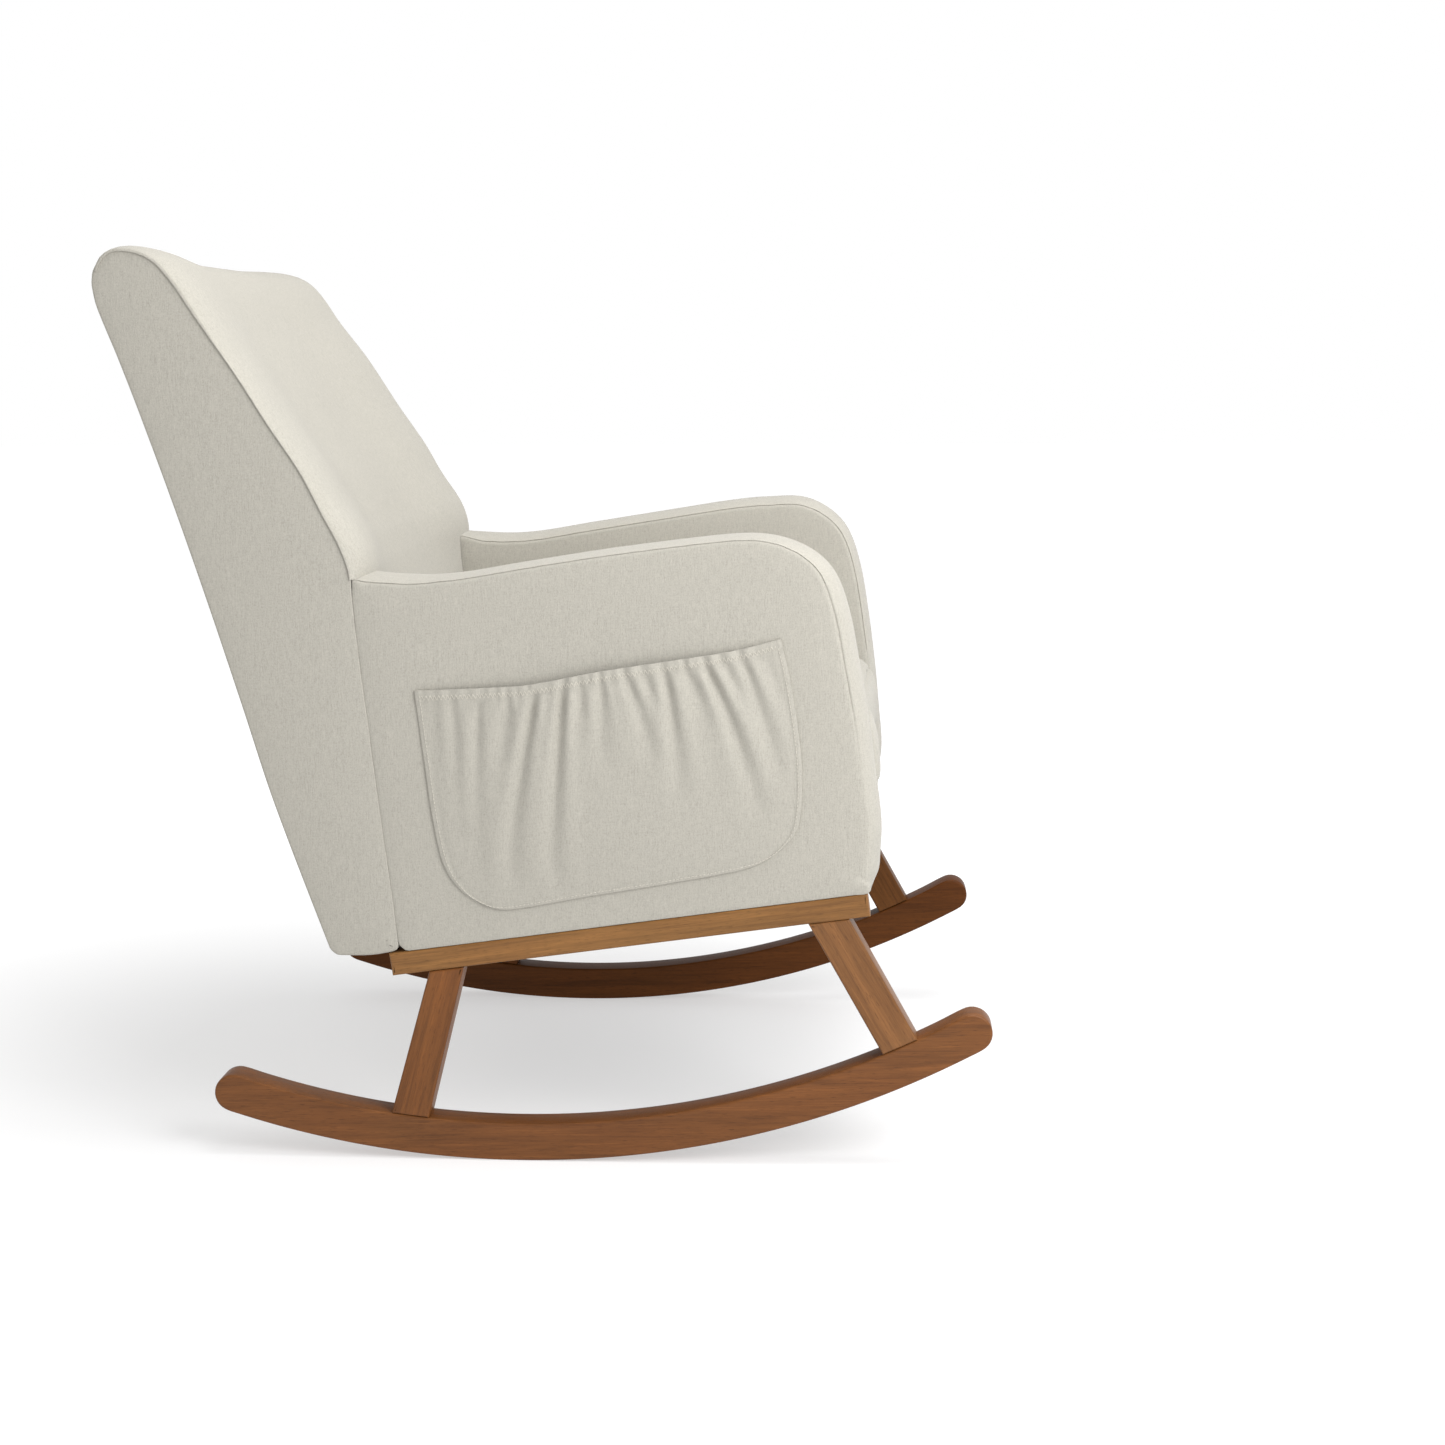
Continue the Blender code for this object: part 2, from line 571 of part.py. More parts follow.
for side, sign in SIDES:
    bm = bmesh.new()
    grids = []
    for depth in (GAP, GAP + POCKET_CLOTH):
        grid = []
        for j in range(DOWN + 1):
            row = []
            for i in range(ACROSS + 1):
                f, z, lift = pocket_point(i / ACROSS, j / DOWN)
                row.append(bm.verts.new((sign * (ARM_OUTER + depth + lift), -f, z)))
            grid.append(row)
        grids.append(grid)
    for grid in grids:
        for j in range(DOWN):
            for i in range(ACROSS):
                bm.faces.new((grid[j][i], grid[j][i + 1], grid[j + 1][i + 1], grid[j + 1][i]))
    inner, outer = grids
    rim = [(0, i) for i in range(ACROSS)] + [(j, ACROSS) for j in range(DOWN)]
    rim += [(DOWN, i) for i in range(ACROSS, 0, -1)] + [(j, 0) for j in range(DOWN, 0, -1)]
    for (j0, i0), (j1, i1) in zip(rim, rim[1:] + rim[:1]):
        bm.faces.new((inner[j0][i0], inner[j1][i1], outer[j1][i1], outer[j0][i0]))
    finish("pocket_" + side, bm, FABRIC)
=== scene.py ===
"""Looks of the upholstered nursery rocking chair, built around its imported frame.

The chair faces -Y. Side outlines are (forward, height) pairs in metres; forward is -Y.
Every outline but the pockets' is read from the CAD solids, so the pieces lie where the
frame has them.
"""
import math

import bmesh
import bpy
import numpy as np
from mathutils import Matrix, Vector, noise
from mathutils.geometry import delaunay_2d_cdt


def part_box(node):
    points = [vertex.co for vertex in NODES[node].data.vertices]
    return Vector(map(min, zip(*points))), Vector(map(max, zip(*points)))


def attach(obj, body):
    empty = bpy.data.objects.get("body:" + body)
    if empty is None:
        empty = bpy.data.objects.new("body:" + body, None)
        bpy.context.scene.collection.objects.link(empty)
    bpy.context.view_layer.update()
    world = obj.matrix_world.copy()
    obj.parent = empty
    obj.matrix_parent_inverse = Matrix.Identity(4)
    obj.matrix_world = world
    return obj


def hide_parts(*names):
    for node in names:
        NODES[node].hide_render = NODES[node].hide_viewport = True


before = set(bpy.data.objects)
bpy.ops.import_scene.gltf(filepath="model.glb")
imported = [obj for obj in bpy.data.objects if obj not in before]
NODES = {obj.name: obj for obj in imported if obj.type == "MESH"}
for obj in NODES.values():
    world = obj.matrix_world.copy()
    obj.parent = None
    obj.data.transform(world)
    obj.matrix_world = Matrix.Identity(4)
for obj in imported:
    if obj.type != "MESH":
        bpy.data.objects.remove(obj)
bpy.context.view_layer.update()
SIDES = (("left", 1), ("right", -1))
TAU = 2 * math.pi

CAD_EDGE = 0.010  # rounding that the CAD gives its soft slabs
SEAT_TILT = math.radians(7.9)
BACK_LEAN = math.radians(17.5)

CAMERA_PLACE = (-2.609, -0.332, 0.866)
CAMERA_TURN, CAMERA_DOWN, CAMERA_ROLL = (math.radians(a) for a in (3.724, 9.386, -0.3175))
CAMERA_LENS, CAMERA_SENSOR = 54.81, 36.0  # mm
ROOM_LIGHT = 0.60
WHITE, FLOOR_GREY = (1, 1, 1, 1), (0.48, 0.48, 0.483, 1)
# name, place, aimed at, side of the square, watts
LAMPS = (("key", (-1.6, -1.5, 1.6), (-0.3, -0.3, 0.45), 1.2, 42),
         ("top", (-0.3, -0.5, 2.8), (0, 0, 0.5), 1.4, 43),
         ("low", (-0.9, -2.0, 1.3), (0, 0, 0.5), 1.2, 3))


# ======== camera, light, floor
def make_camera():
    """Side view from a little in front of the seat, aimed slightly down."""
    turn, down, roll = CAMERA_TURN, CAMERA_DOWN, CAMERA_ROLL
    ahead = Vector((math.cos(turn) * math.cos(down), math.sin(turn) * math.cos(down),
                    -math.sin(down)))
    right = ahead.cross(Vector((0, 0, 1))).normalized()
    up = right.cross(ahead)
    right, up = (right * math.cos(roll) + up * math.sin(roll),
                 up * math.cos(roll) - right * math.sin(roll))
    data = bpy.data.cameras.new("camera")
    data.lens = CAMERA_LENS
    data.sensor_width = CAMERA_SENSOR
    data.clip_end = 100.0
    basis = Matrix((right, up, -ahead)).transposed().to_4x4()
    bpy.context.scene.camera = add_object("camera", data, CAMERA_PLACE, basis)


def add_object(name, data, place=(0, 0, 0), turn=Matrix()):
    obj = bpy.data.objects.new(name, data)
    bpy.context.collection.objects.link(obj)
    obj.matrix_world = Matrix.Translation(place) @ turn
    return obj


def area_light(name, place, target, size, power):
    data = bpy.data.lights.new(name, "AREA")
    data.shape = "RECTANGLE"
    data.size = data.size_y = size
    data.energy = power
    way = Vector(target) - Vector(place)
    add_object(name, data, place, way.to_track_quat("-Z", "Y").to_matrix().to_4x4())


def white_room(strength):
    """White all round: pure white behind the chair, softer as a source of light."""
    world = bpy.data.worlds.new("studio")
    world.use_nodes = True
    tree = world.node_tree
    light = tree.nodes["Background"]
    light.inputs["Strength"].default_value = strength
    backdrop = tree.nodes.new("ShaderNodeBackground")
    ray = tree.nodes.new("ShaderNodeLightPath")
    either = tree.nodes.new("ShaderNodeMixShader")
    for node in (light, backdrop):
        node.inputs["Color"].default_value = WHITE
    for source, target in ((ray.outputs["Is Camera Ray"], either.inputs["Fac"]),
                           (light.outputs[0], either.inputs[1]),
                           (backdrop.outputs[0], either.inputs[2]),
                           (either.outputs[0], tree.nodes["World Output"].inputs["Surface"])):
        tree.links.new(source, target)
    return world


def floor_painted_glow():
    """Pale grey floor with a painted glow that brightens it to white away from the chair, like a
    studio sweep: painted light, and painted shade where the glow is weaker near the chair.
    """
    n = Nodes("floor", 0.9)
    distance = n.add("VectorMath", {0: n.place["Object"]}, "Value", operation="LENGTH")
    n.feed(n.shader, {"Base Color": FLOOR_GREY, "Emission Color": WHITE,
                      "Emission Strength": n.span(distance, 0.55, 1.4, 0.49, 0.72)})
    return n.mat


def make_studio():
    scene = bpy.context.scene
    scene.view_settings.view_transform = "Standard"
    scene.world = white_room(ROOM_LIGHT)
    for lamp in LAMPS:
        area_light(*lamp)
    bm = bmesh.new()
    bmesh.ops.create_grid(bm, x_segments=8, y_segments=8, size=20.0)
    mesh = bpy.data.meshes.new("floor")
    bm.to_mesh(mesh)
    bm.free()
    mesh.materials.append(floor_painted_glow())
    add_object("floor", mesh)


# ======== materials
class Nodes:
    """Short way to write a material's node tree; a value may be another node's socket."""

    def __init__(self, name, roughness, specular=0.5, metallic=0.0, sheen=0.0, coat=0.0):
        self.mat = bpy.data.materials.new(name)
        self.mat.use_nodes = True
        self.tree = self.mat.node_tree
        self.shader = self.tree.nodes["Principled BSDF"]
        self.feed(self.shader, {"Roughness": roughness, "Metallic": metallic,
                                "Specular IOR Level": specular, "Sheen Weight": sheen,
                                "Coat Weight": coat})
        self.place = self.tree.nodes.new("ShaderNodeTexCoord").outputs

    def feed(self, node, inputs):
        for key, value in inputs.items():
            if isinstance(value, bpy.types.NodeSocket):
                self.tree.links.new(value, node.inputs[key])
            else:
                node.inputs[key].default_value = value

    def add(self, kind, inputs, output=0, **settings):
        """New node with its settings and inputs; returns one of its outputs."""
        node = self.tree.nodes.new("ShaderNode" + kind)
        for key, value in settings.items():
            setattr(node, key, value)
        self.feed(node, inputs)
        return node.outputs[output]

    def space(self, cell, turn=(0, 0, 0), shift=(0, 0, 0)):
        """Object coordinates in units of cell (metres), turned to follow a piece."""
        turned = self.add("Mapping", {"Vector": self.place["Object"], "Rotation": turn,
                                      "Location": shift})
        return self.add("Mapping", {"Vector": turned, "Scale": [1 / c for c in cell]})

    def split(self, vector):
        node = self.tree.nodes.new("ShaderNodeSeparateXYZ")
        self.tree.links.new(vector, node.inputs[0])
        return node.outputs

    def noise(self, vector, detail=2.0, rough=0.5, distortion=0.0):
        return self.add("TexNoise", {"Vector": vector, "Scale": 1.0, "Detail": detail,
                                     "Roughness": rough, "Distortion": distortion}, "Fac")

    def math(self, operation, a, b=0.0):
        return self.add("Math", {0: a, 1: b}, operation=operation)

    def plus(self, a, b):
        return self.math("ADD", a, b)

    def times(self, a, b):
        return self.math("MULTIPLY", a, b)

    def span(self, value, low, high, new_low=0.0, new_high=1.0):
        return self.add("MapRange", {"Value": value, "From Min": low, "From Max": high,
                                     "To Min": new_low, "To Max": new_high})

    def ramp(self, value, stops):
        node = self.tree.nodes.new("ShaderNodeValToRGB")
        band = node.color_ramp
        while len(band.elements) < len(stops):
            band.elements.new(0.5)
        for element, (where, colour) in zip(band.elements, stops):
            element.position = where
            element.color = (*colour, 1)
        self.tree.links.new(value, node.inputs["Fac"])
        return node.outputs["Color"]

    def tones(self, value, colour, stops):
        """Ramp over lighter and darker tones of one colour."""
        return self.ramp(value, [(at, shade(colour, amount)) for at, amount in stops.items()])

    def mix(self, share, a, b):
        a, b = ((*value, 1) if isinstance(value, tuple) else value for value in (a, b))
        return self.add("Mix", {0: share, 6: a, 7: b}, 2, data_type="RGBA")

    def bump(self, height, distance, strength=1.0):
        return self.add("Bump", {"Height": height, "Distance": distance,
                                 "Strength": strength}, "Normal")

    def finish(self, colour, roughness, normal):
        inputs = {"Base Color": colour, "Roughness": roughness, "Normal": normal}
        self.feed(self.shader, {key: v for key, v in inputs.items() if v is not None})
        return self.mat


def shade(colour, amount):
    return tuple(c * amount for c in colour)


CREAM = (0.403, 0.384, 0.337)  # pale greige upholstery, linear
THREAD_PITCH = 0.0009


def weave_height(nodes, lean):
    """Plain weave: crossed threads in the two directions that lie in the surface."""
    x, y, z = nodes.split(nodes.space((1, 1, 1), (lean, 0, 0)))
    facing = nodes.split(nodes.place["Normal"])
    sideways, upward = (nodes.math("GREATER_THAN", nodes.math("ABSOLUTE", way), 0.7)
                        for way in (facing[0], facing[2]))

    def choose(switch, a, b):
        return nodes.plus(nodes.times(a, nodes.math("SUBTRACT", 1.0, switch)),
                          nodes.times(b, switch))

    waves = [nodes.math("SINE", nodes.times(value, TAU / THREAD_PITCH))
             for value in (choose(sideways, x, y), choose(upward, z, y))]
    return nodes.times(*waves)


def fabric(name, colour=CREAM, lean=0.0, seed=0.0):
    """Heathered linen-look cover: flecked warp and weft threads, slubs, soft large patches."""
    n = Nodes(name, 0.92, specular=0.18, sheen=0.18)
    n.shader.inputs["Sheen Roughness"].default_value = 0.45
    turn, shift = (lean, 0, 0), (seed, seed * 0.7, seed * 1.3)
    warp = n.noise(n.space((0.0011, 0.0011, 0.0110), turn, shift), 3.0, 0.6)
    weft = n.noise(n.space((0.0070, 0.0070, 0.0012), turn, shift), 3.0, 0.6)
    fleck = n.noise(n.space((0.0011, 0.0011, 0.0019), turn, shift), 2.0, 0.7)
    cloud = n.noise(n.space((0.07, 0.07, 0.11), turn, shift), 2.0, 0.5)
    threads = n.plus(n.times(warp, 0.38), n.times(weft, 0.20))
    threads = n.plus(threads, n.times(fleck, 0.52))
    base = n.tones(n.span(threads, 0.36, 0.74), colour, {0.0: 0.70, 0.45: 0.97, 1.0: 1.22})
    warm = n.mix(n.span(cloud, 0.3, 0.7), shade(colour, 0.975), shade(colour, 1.02))
    base = n.mix(0.25, base, warm)
    height = n.plus(n.times(weave_height(n, lean), 0.20), threads)
    normal = n.bump(height, 0.0005, 0.55)
    return n.finish(base, n.span(fleck, 0.3, 0.7, 0.86, 0.97), normal)


WALNUT = (0.152, 0.0565, 0.0150)
PINE = (0.560, 0.410, 0.250)
PLYWOOD = (0.60, 0.46, 0.30)
JUTE_DARK, JUTE_PALE = (0.24, 0.17, 0.09), (0.52, 0.41, 0.26)


def wood(name, turn, colour, seed, rough=0.42, length=0.20, coat=0.0, specular=0.22):
    """Stained hardwood: long figure, fine fibre and short dark pores, all along local Y."""
    n = Nodes(name, rough, specular=specular, coat=coat)
    n.shader.inputs["Coat Roughness"].default_value = 0.35
    shift = (seed, seed * 2.3, seed * 0.6)
    figure = n.noise(n.space((0.010, length, 0.010), turn, shift), 4.0, 0.55, 0.9)
    fibre = n.noise(n.space((0.0014, 0.045, 0.0014), turn, shift), 3.0, 0.6)
    pores = n.noise(n.space((0.0007, 0.011, 0.0007), turn, shift), 1.0, 0.5)
    broad = n.noise(n.space((0.05, 0.16, 0.05), turn, shift), 2.0, 0.5)
    tone = n.plus(n.times(figure, 0.62), n.times(fibre, 0.38))
    base = n.tones(n.span(tone, 0.38, 0.62), colour,
                   {0.0: 0.62, 0.40: 0.93, 0.75: 1.12, 1.0: 1.38})
    red, pale = (colour[0] * 1.05, colour[1] * 0.90, colour[2] * 0.85), shade(colour, 1.10)
    base = n.mix(0.30, base, n.mix(n.span(broad, 0.3, 0.7), red, pale))
    open_pore = n.span(pores, 0.62, 0.72)
    base = n.mix(n.times(open_pore, 0.55), base, shade(colour, 0.40))
    height = n.math("SUBTRACT", n.times(fibre, 0.5), open_pore)
    normal = n.bump(height, 0.0002, 0.45)
    return n.finish(base, n.span(figure, 0.3, 0.7, rough - 0.05, rough + 0.08), normal)


def steel(name):
    n = Nodes(name, 0.35, metallic=1.0)
    brushed = n.noise(n.space((0.0006, 0.02, 0.02)), 3.0)
    base = n.ramp(brushed, ((0.2, (0.42, 0.43, 0.44)), (0.8, (0.62, 0.63, 0.64))))
    return n.finish(base, n.span(brushed, 0.3, 0.7, 0.28, 0.42), n.bump(brushed, 0.0001, 0.3))


def webbing(name):
    """Coarse jute: thick threads both ways."""
    n = Nodes(name, 0.95, specular=0.1)
    threads = n.plus(n.noise(n.space((0.002, 0.03, 0.002)), 3.0),
                     n.noise(n.space((0.03, 0.002, 0.03)), 3.0))
    base = n.ramp(n.span(threads, 0.7, 1.3), ((0.0, JUTE_DARK), (1.0, JUTE_PALE)))
    return n.finish(base, None, n.bump(threads, 0.0008, 0.8))


def two_tone(name, rough, specular, cell, dark, pale, relief):
    """Fine even mottle of two colours; relief is its depth and strength."""
    n = Nodes(name, rough, specular=specular)
    mottle = n.noise(n.space(cell), 2.0)
    return n.finish(n.ramp(mottle, ((0.3, dark), (0.7, pale))), None, n.bump(mottle, *relief))


# ======== outlines from the frame
def loop_at(node, x):
    """Closed side outline of a CAD node in the plane x, counter-clockwise (forward, height)."""
    mesh = NODES[node].data
    keys, where = {}, []
    for vert in mesh.vertices:
        key = None
        if abs(vert.co.x - x) < 5e-5:
            key = (round(vert.co.y, 6), round(vert.co.z, 6))
            keys.setdefault(key, (-vert.co.y, vert.co.z))
        where.append(key)
    inside, edges = {}, set()
    for face in mesh.polygons:
        ids = [where[v] for v in face.vertices]
        flat = all(k is not None for k in ids)
        for a, b in zip(ids, ids[1:] + ids[:1]):
            if a is None or b is None or a == b:
                continue
            edge = tuple(sorted((a, b)))
            edges.add(edge)
            if flat:
                inside[edge] = inside.get(edge, 0) + 1
    links = {}
    for a, b in edges:
        if inside.get((a, b), 0) < 2:
            links.setdefault(a, []).append(b)
            links.setdefault(b, []).append(a)
    best, seen = [], set()
    for start in sorted(links):
        if start in seen:
            continue
        walk, here, before = [start], start, None
        seen.add(start)
        while True:
            ahead = [k for k in links[here] if k != before and (k not in seen or k == start)]
            ahead = [k for k in ahead if k != start or len(walk) > 2]
            if not ahead or ahead[0] == start:
                break
            before, here = here, ahead[0]
            seen.add(here)
            walk.append(here)
        if len(walk) > len(best):
            best = walk
    points = [Vector(keys[k]) for k in best]
    area = sum(a.x * b.y - b.x * a.y for a, b in zip(points, points[1:] + points[:1]))
    return points if area > 0 else points[::-1]


def hermite(a, b, leave, arrive, u):
    """Cubic from a to b with the given slopes at its ends."""
    return (a * (2 * u ** 3 - 3 * u ** 2 + 1) + leave * (u ** 3 - 2 * u ** 2 + u)
            + b * (3 * u ** 2 - 2 * u ** 3) + arrive * (u ** 3 - u ** 2))


def refine(points, spacing, corner=40.0):
    """Smooth closed curve through the points at about the given spacing; true corners stay."""
    count = len(points)

    def tangent(i, straight):
        before, middle, after = points[i - 1], points[i % count], points[(i + 1) % count]
        one, two = (middle - before).normalized(), (after - middle).normalized()
        if math.degrees(one.angle(two, 0)) > corner:
            return straight
        return (after - before).normalized()

    out = []
    for i in range(count):
        here, there = points[i], points[(i + 1) % count]
        length = (there - here).length
        straight = (there - here).normalized()
        start, end = tangent(i, straight) * length, tangent(i + 1, straight) * length
        steps = max(1, round(length / spacing))
        out += [hermite(here, there, start, end, k / steps) for k in range(steps)]
    return out


def outward(points):
    """Unit normals of a counter-clockwise closed outline."""
    count = len(points)
    out = []
    for i in range(count):
        way = (points[(i + 1) % count] - points[i - 1]).normalized()
        out.append(Vector((way.y, -way.x)))
    return out


def smooth(low, high, value):
    u = min(1.0, max(0.0, (value - low) / (high - low)))
    return u * u * (3 - 2 * u)


def waver(x, y, z):
    """Smooth unevenness between about -1 and 1."""
    return noise.noise(Vector((x, y, z)))


def reach(node):
    """Nearest and furthest distance of a side piece from the chair's middle plane."""
    return sorted(abs(corner.x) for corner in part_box(node))


# ======== meshes
def new_object(name, bm, material, smooth_angle=50.0):
    bmesh.ops.remove_doubles(bm, verts=bm.verts, dist=1e-6)
    bmesh.ops.recalc_face_normals(bm, faces=bm.faces)
    mesh = bpy.data.meshes.new(name)
    bm.to_mesh(mesh)
    bm.free()
    mesh.shade_smooth()
    mesh.set_sharp_from_angle(angle=math.radians(smooth_angle))
    mesh.materials.append(material)
    return add_object(name, mesh)


def ring_at(bm, outline, normals, xs, depths):
    """Ring of vertices: an outline drawn in by depths, each of its points at its own x."""
    points = [p - n * d for p, n, d in zip(outline, normals, depths)]
    return [bm.verts.new((x, -p.x, p.y)) for x, p in zip(xs, points)]


def bridge(bm, one, two):
    count = len(one)
    for i in range(count):
        j = (i + 1) % count
        bm.faces.new((one[i], one[j], two[j], two[i]))


def join_rings(bm, rings, capped=False):
    """Skin between neighbouring rings; capped closes both ends with triangles."""
    for one, two in zip(rings, rings[1:]):
        bridge(bm, one, two)
    if capped:
        caps = [bm.faces.new(rings[0]), bm.faces.new(rings[-1])]
        bmesh.ops.triangulate(bm, faces=caps)


def rounding(radius, steps):
    """Quarter circle as (distance in from the face, depth below the outline)."""
    angles = [math.pi / 2 * k / steps for k in range(steps + 1)]
    return [(radius * (1 - math.cos(a)), radius * (1 - math.sin(a))) for a in angles]


def shell(bm, grids):
    """Skin two grids of vertices, inside and outside of a sheet, and join their rims."""
    last_j, last_i = len(grids[0]) - 1, len(grids[0][0]) - 1
    for grid in grids:
        for j in range(last_j):
            for i in range(last_i):
                bm.faces.new((grid[j][i], grid[j][i + 1], grid[j + 1][i + 1], grid[j + 1][i]))
    rim = [(0, i) for i in range(last_i)] + [(j, last_i) for j in range(last_j)]
    rim += [(last_j, i) for i in range(last_i, 0, -1)] + [(j, 0) for j in range(last_j, 0, -1)]
    bridge(bm, *([grid[j][i] for j, i in rim] for grid in grids))


def fill(bm, ring, x_at, spacing=0.007):
    """Fill a ring with an even triangle mesh; x_at(distance, f, z) gives each point's x."""
    border = [Vector((-v.co.y, v.co.z)) for v in ring]
    flat = np.array(border)
    low, high = flat.min(0), flat.max(0)
    grid = []
    row = 0
    z = low[1] + spacing
    while z < high[1]:
        f = low[0] + spacing * (1 if row % 2 else 0.5)
        while f < high[0]:
            grid.append((f, z))
            f += spacing
        z += spacing * 0.866
        row += 1
    grid = np.array(grid)
    grid = grid[(edge_distance(grid, flat) > spacing * 0.55) & inside(grid, flat)]
    nearest = edge_distance(grid, flat)
    points = border + [Vector(p) for p in grid]
    count = len(border)
    made = delaunay_2d_cdt(points, [(i, (i + 1) % count) for i in range(count)], [], 1, 1e-7)
    verts = []
    for i, (f, z) in enumerate(made[0]):
        origin = made[3][i][0] if made[3][i] else -1
        if 0 <= origin < count:
            verts.append(ring[origin])
        else:
            depth = nearest[origin - count] if origin >= count else 0.0
            verts.append(bm.verts.new((x_at(depth, f, z), -f, z)))
    for face in made[2]:
        corners = [verts[i] for i in face]
        if len(set(corners)) == 3:
            bm.faces.new(corners)


def edge_distance(points, border):
    """Distance from each point to the nearest side of a closed outline."""
    best = np.full(len(points), 1e9)
    for a, b in zip(border, np.roll(border, -1, 0)):
        way = b - a
        share = np.clip(((points - a) @ way) / max(way @ way, 1e-18), 0, 1)
        best = np.minimum(best, np.linalg.norm(points - (a + share[:, None] * way), axis=1))
    return best


def inside(points, border):
    """Which points lie within a closed outline, by counting the sides they pass."""
    odd = np.zeros(len(points), bool)
    for a, b in zip(border, np.roll(border, -1, 0)):
        spans = (a[1] > points[:, 1]) != (b[1] > points[:, 1])
        with np.errstate(divide="ignore", invalid="ignore"):
            cross = (b[0] - a[0]) * (points[:, 1] - a[1]) / (b[1] - a[1]) + a[0]
        odd ^= spans & (points[:, 0] < cross)
    return odd


def place_piece(obj, nodes=(), body="chair"):
    """Give a piece its body and hide the CAD nodes it stands for."""
    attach(obj, body)
    if nodes:
        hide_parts(*nodes)


def padded_piece(name, bm, material, smooth_angle, node):
    """Upholstered piece that stands for one CAD node."""
    obj = new_object(name, bm, material, smooth_angle)
    place_piece(obj, [node])


# -------- wooden pieces
WOOD_SOFTENING = 0.0022
WOOD_LIP = 0.0012  # flat strip of a side face next to its softened edge


def wooden_piece(node, material):
    """The CAD outline pushed across, with softened edges."""
    low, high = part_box(node)
    outline = refine(loop_at(node, high.x), 0.004)
    normals = outward(outline)
    profile = [(0.0, WOOD_SOFTENING + WOOD_LIP)] + rounding(WOOD_SOFTENING, 3)
    stops = [(low.x + dx, depth) for dx, depth in profile]
    stops += [(high.x - dx, depth) for dx, depth in reversed(profile)]
    bm = bmesh.new()
    count = len(outline)
    join_rings(bm, [ring_at(bm, outline, normals, [x] * count, [depth] * count)
                    for x, depth in stops], capped=True)
    place_piece(new_object(node + "_wood", bm, material), [node])


# the left side's timber is painted darker, painted shade for the shadow under the seat, and
# finished duller
LEFT_PAINTED_SHADE = (0.55, 0.48, 0.36)
LEFT_SHINE, RIGHT_SHINE = (0.02, 0.10), (0.06, 0.22)  # coat and specular
# kind, turn of its grain, stain, its two pieces
TIMBER = (("rocker", (math.radians(2.0), 0, 0), WALNUT, ("left", "right")),
          ("side_rail", (SEAT_TILT, 0, 0), (0.207, 0.098, 0.029), ("left", "right")),
          ("leg_front", (math.radians(-60.0), 0, 0), (0.181, 0.079, 0.026), ("left", "right")),
          ("leg_rear", (math.radians(74.0), 0, 0), (0.165, 0.060, 0.0145), ("left", "right")),
          ("cross_rail", (0, 0, math.radians(90)), WALNUT, ("front", "rear")))


def make_woodwork():
    seed = 1.0
    for kind, turn, stain, ends in TIMBER:
        for end in ends:
            node = "%s_%s" % (kind, end)
            seed += 1.37
            shine = RIGHT_SHINE
            colour = stain
            if end == "left":
                shine = LEFT_SHINE
                # painted shade: the left pieces' colour is darkened for the shadow they sit in
                colour = tuple(c * share for c, share in zip(stain, LEFT_PAINTED_SHADE))
            coat, specular = shine
            mat = wood("walnut_" + node, turn, colour, seed, coat=coat, specular=specular)
            wooden_piece(node, mat)


# -------- arms
GROOVE = 0.0014  # depth of a seam
SHOULDER = 0.0012  # half width of a seam
DRAW_IN = 0.0024  # how far a face is pulled in at its seam
DRAW_REACH = 0.020
FACE_START = 0.009  # where a face's even mesh takes over from the rings beside its seam
# rings across half of an arm's band, as shares of its half width
BAND_RINGS = (0.985, 0.955, 0.90, 0.82, 0.70, 0.54, 0.36, 0.18, 0.0)


def face_depth(distance, f, z, seed):
    """How far below its plane a covered face lies."""
    pull = DRAW_IN * math.exp(-distance / DRAW_REACH)
    ripple = waver(f * 9 + seed, z * 7, seed) * 0.0006
    return pull + ripple * (1 - math.exp(-distance / 0.03))


def tucked(normal):
    """Share of the arm's edge that lies against the rail below or the back behind it."""
    return smooth(0.4, 0.9, -normal.y), smooth(0.5, 0.9, -normal.x)


def arm_seam(point, normal, outside):
    """Distance from the crown of the arm's band down to the seam of one face."""
    band = 0.0035 + 0.0055 * smooth(-0.200, -0.160, point.x)
    if outside:
        band = (0.0045 + 0.0110 * max(0.0, normal.x) ** 1.5
                + 0.0020 * smooth(0.11, 0.15, -point.x))
    below, behind = tucked(normal)
    return band * (1 - max(below, behind))


def stuffing(point, normal, sign):
    """How far hand stuffing moves the arm's outline in; the left arm's front is the fuller."""
    below, behind = tucked(normal)
    corner = math.exp(-((normal.x + 0.7) / 0.35) ** 2) * smooth(0.2, 0.6, normal.y)
    move = -0.0010 * below - 0.0004 * behind - 0.0026 * corner
    if sign > 0:
        return move - 0.0060 * smooth(0.205, 0.265, point.x) * smooth(0.30, 0.36, point.y)
    slim = 0.0032 * smooth(0.04, 0.18, point.x) * smooth(0.46, 0.58, point.y)
    full = 0.0026 * math.exp(-((point.y - 0.385) / 0.045) ** 2) * smooth(0.3, 0.8, normal.x)
    return move + slim - full


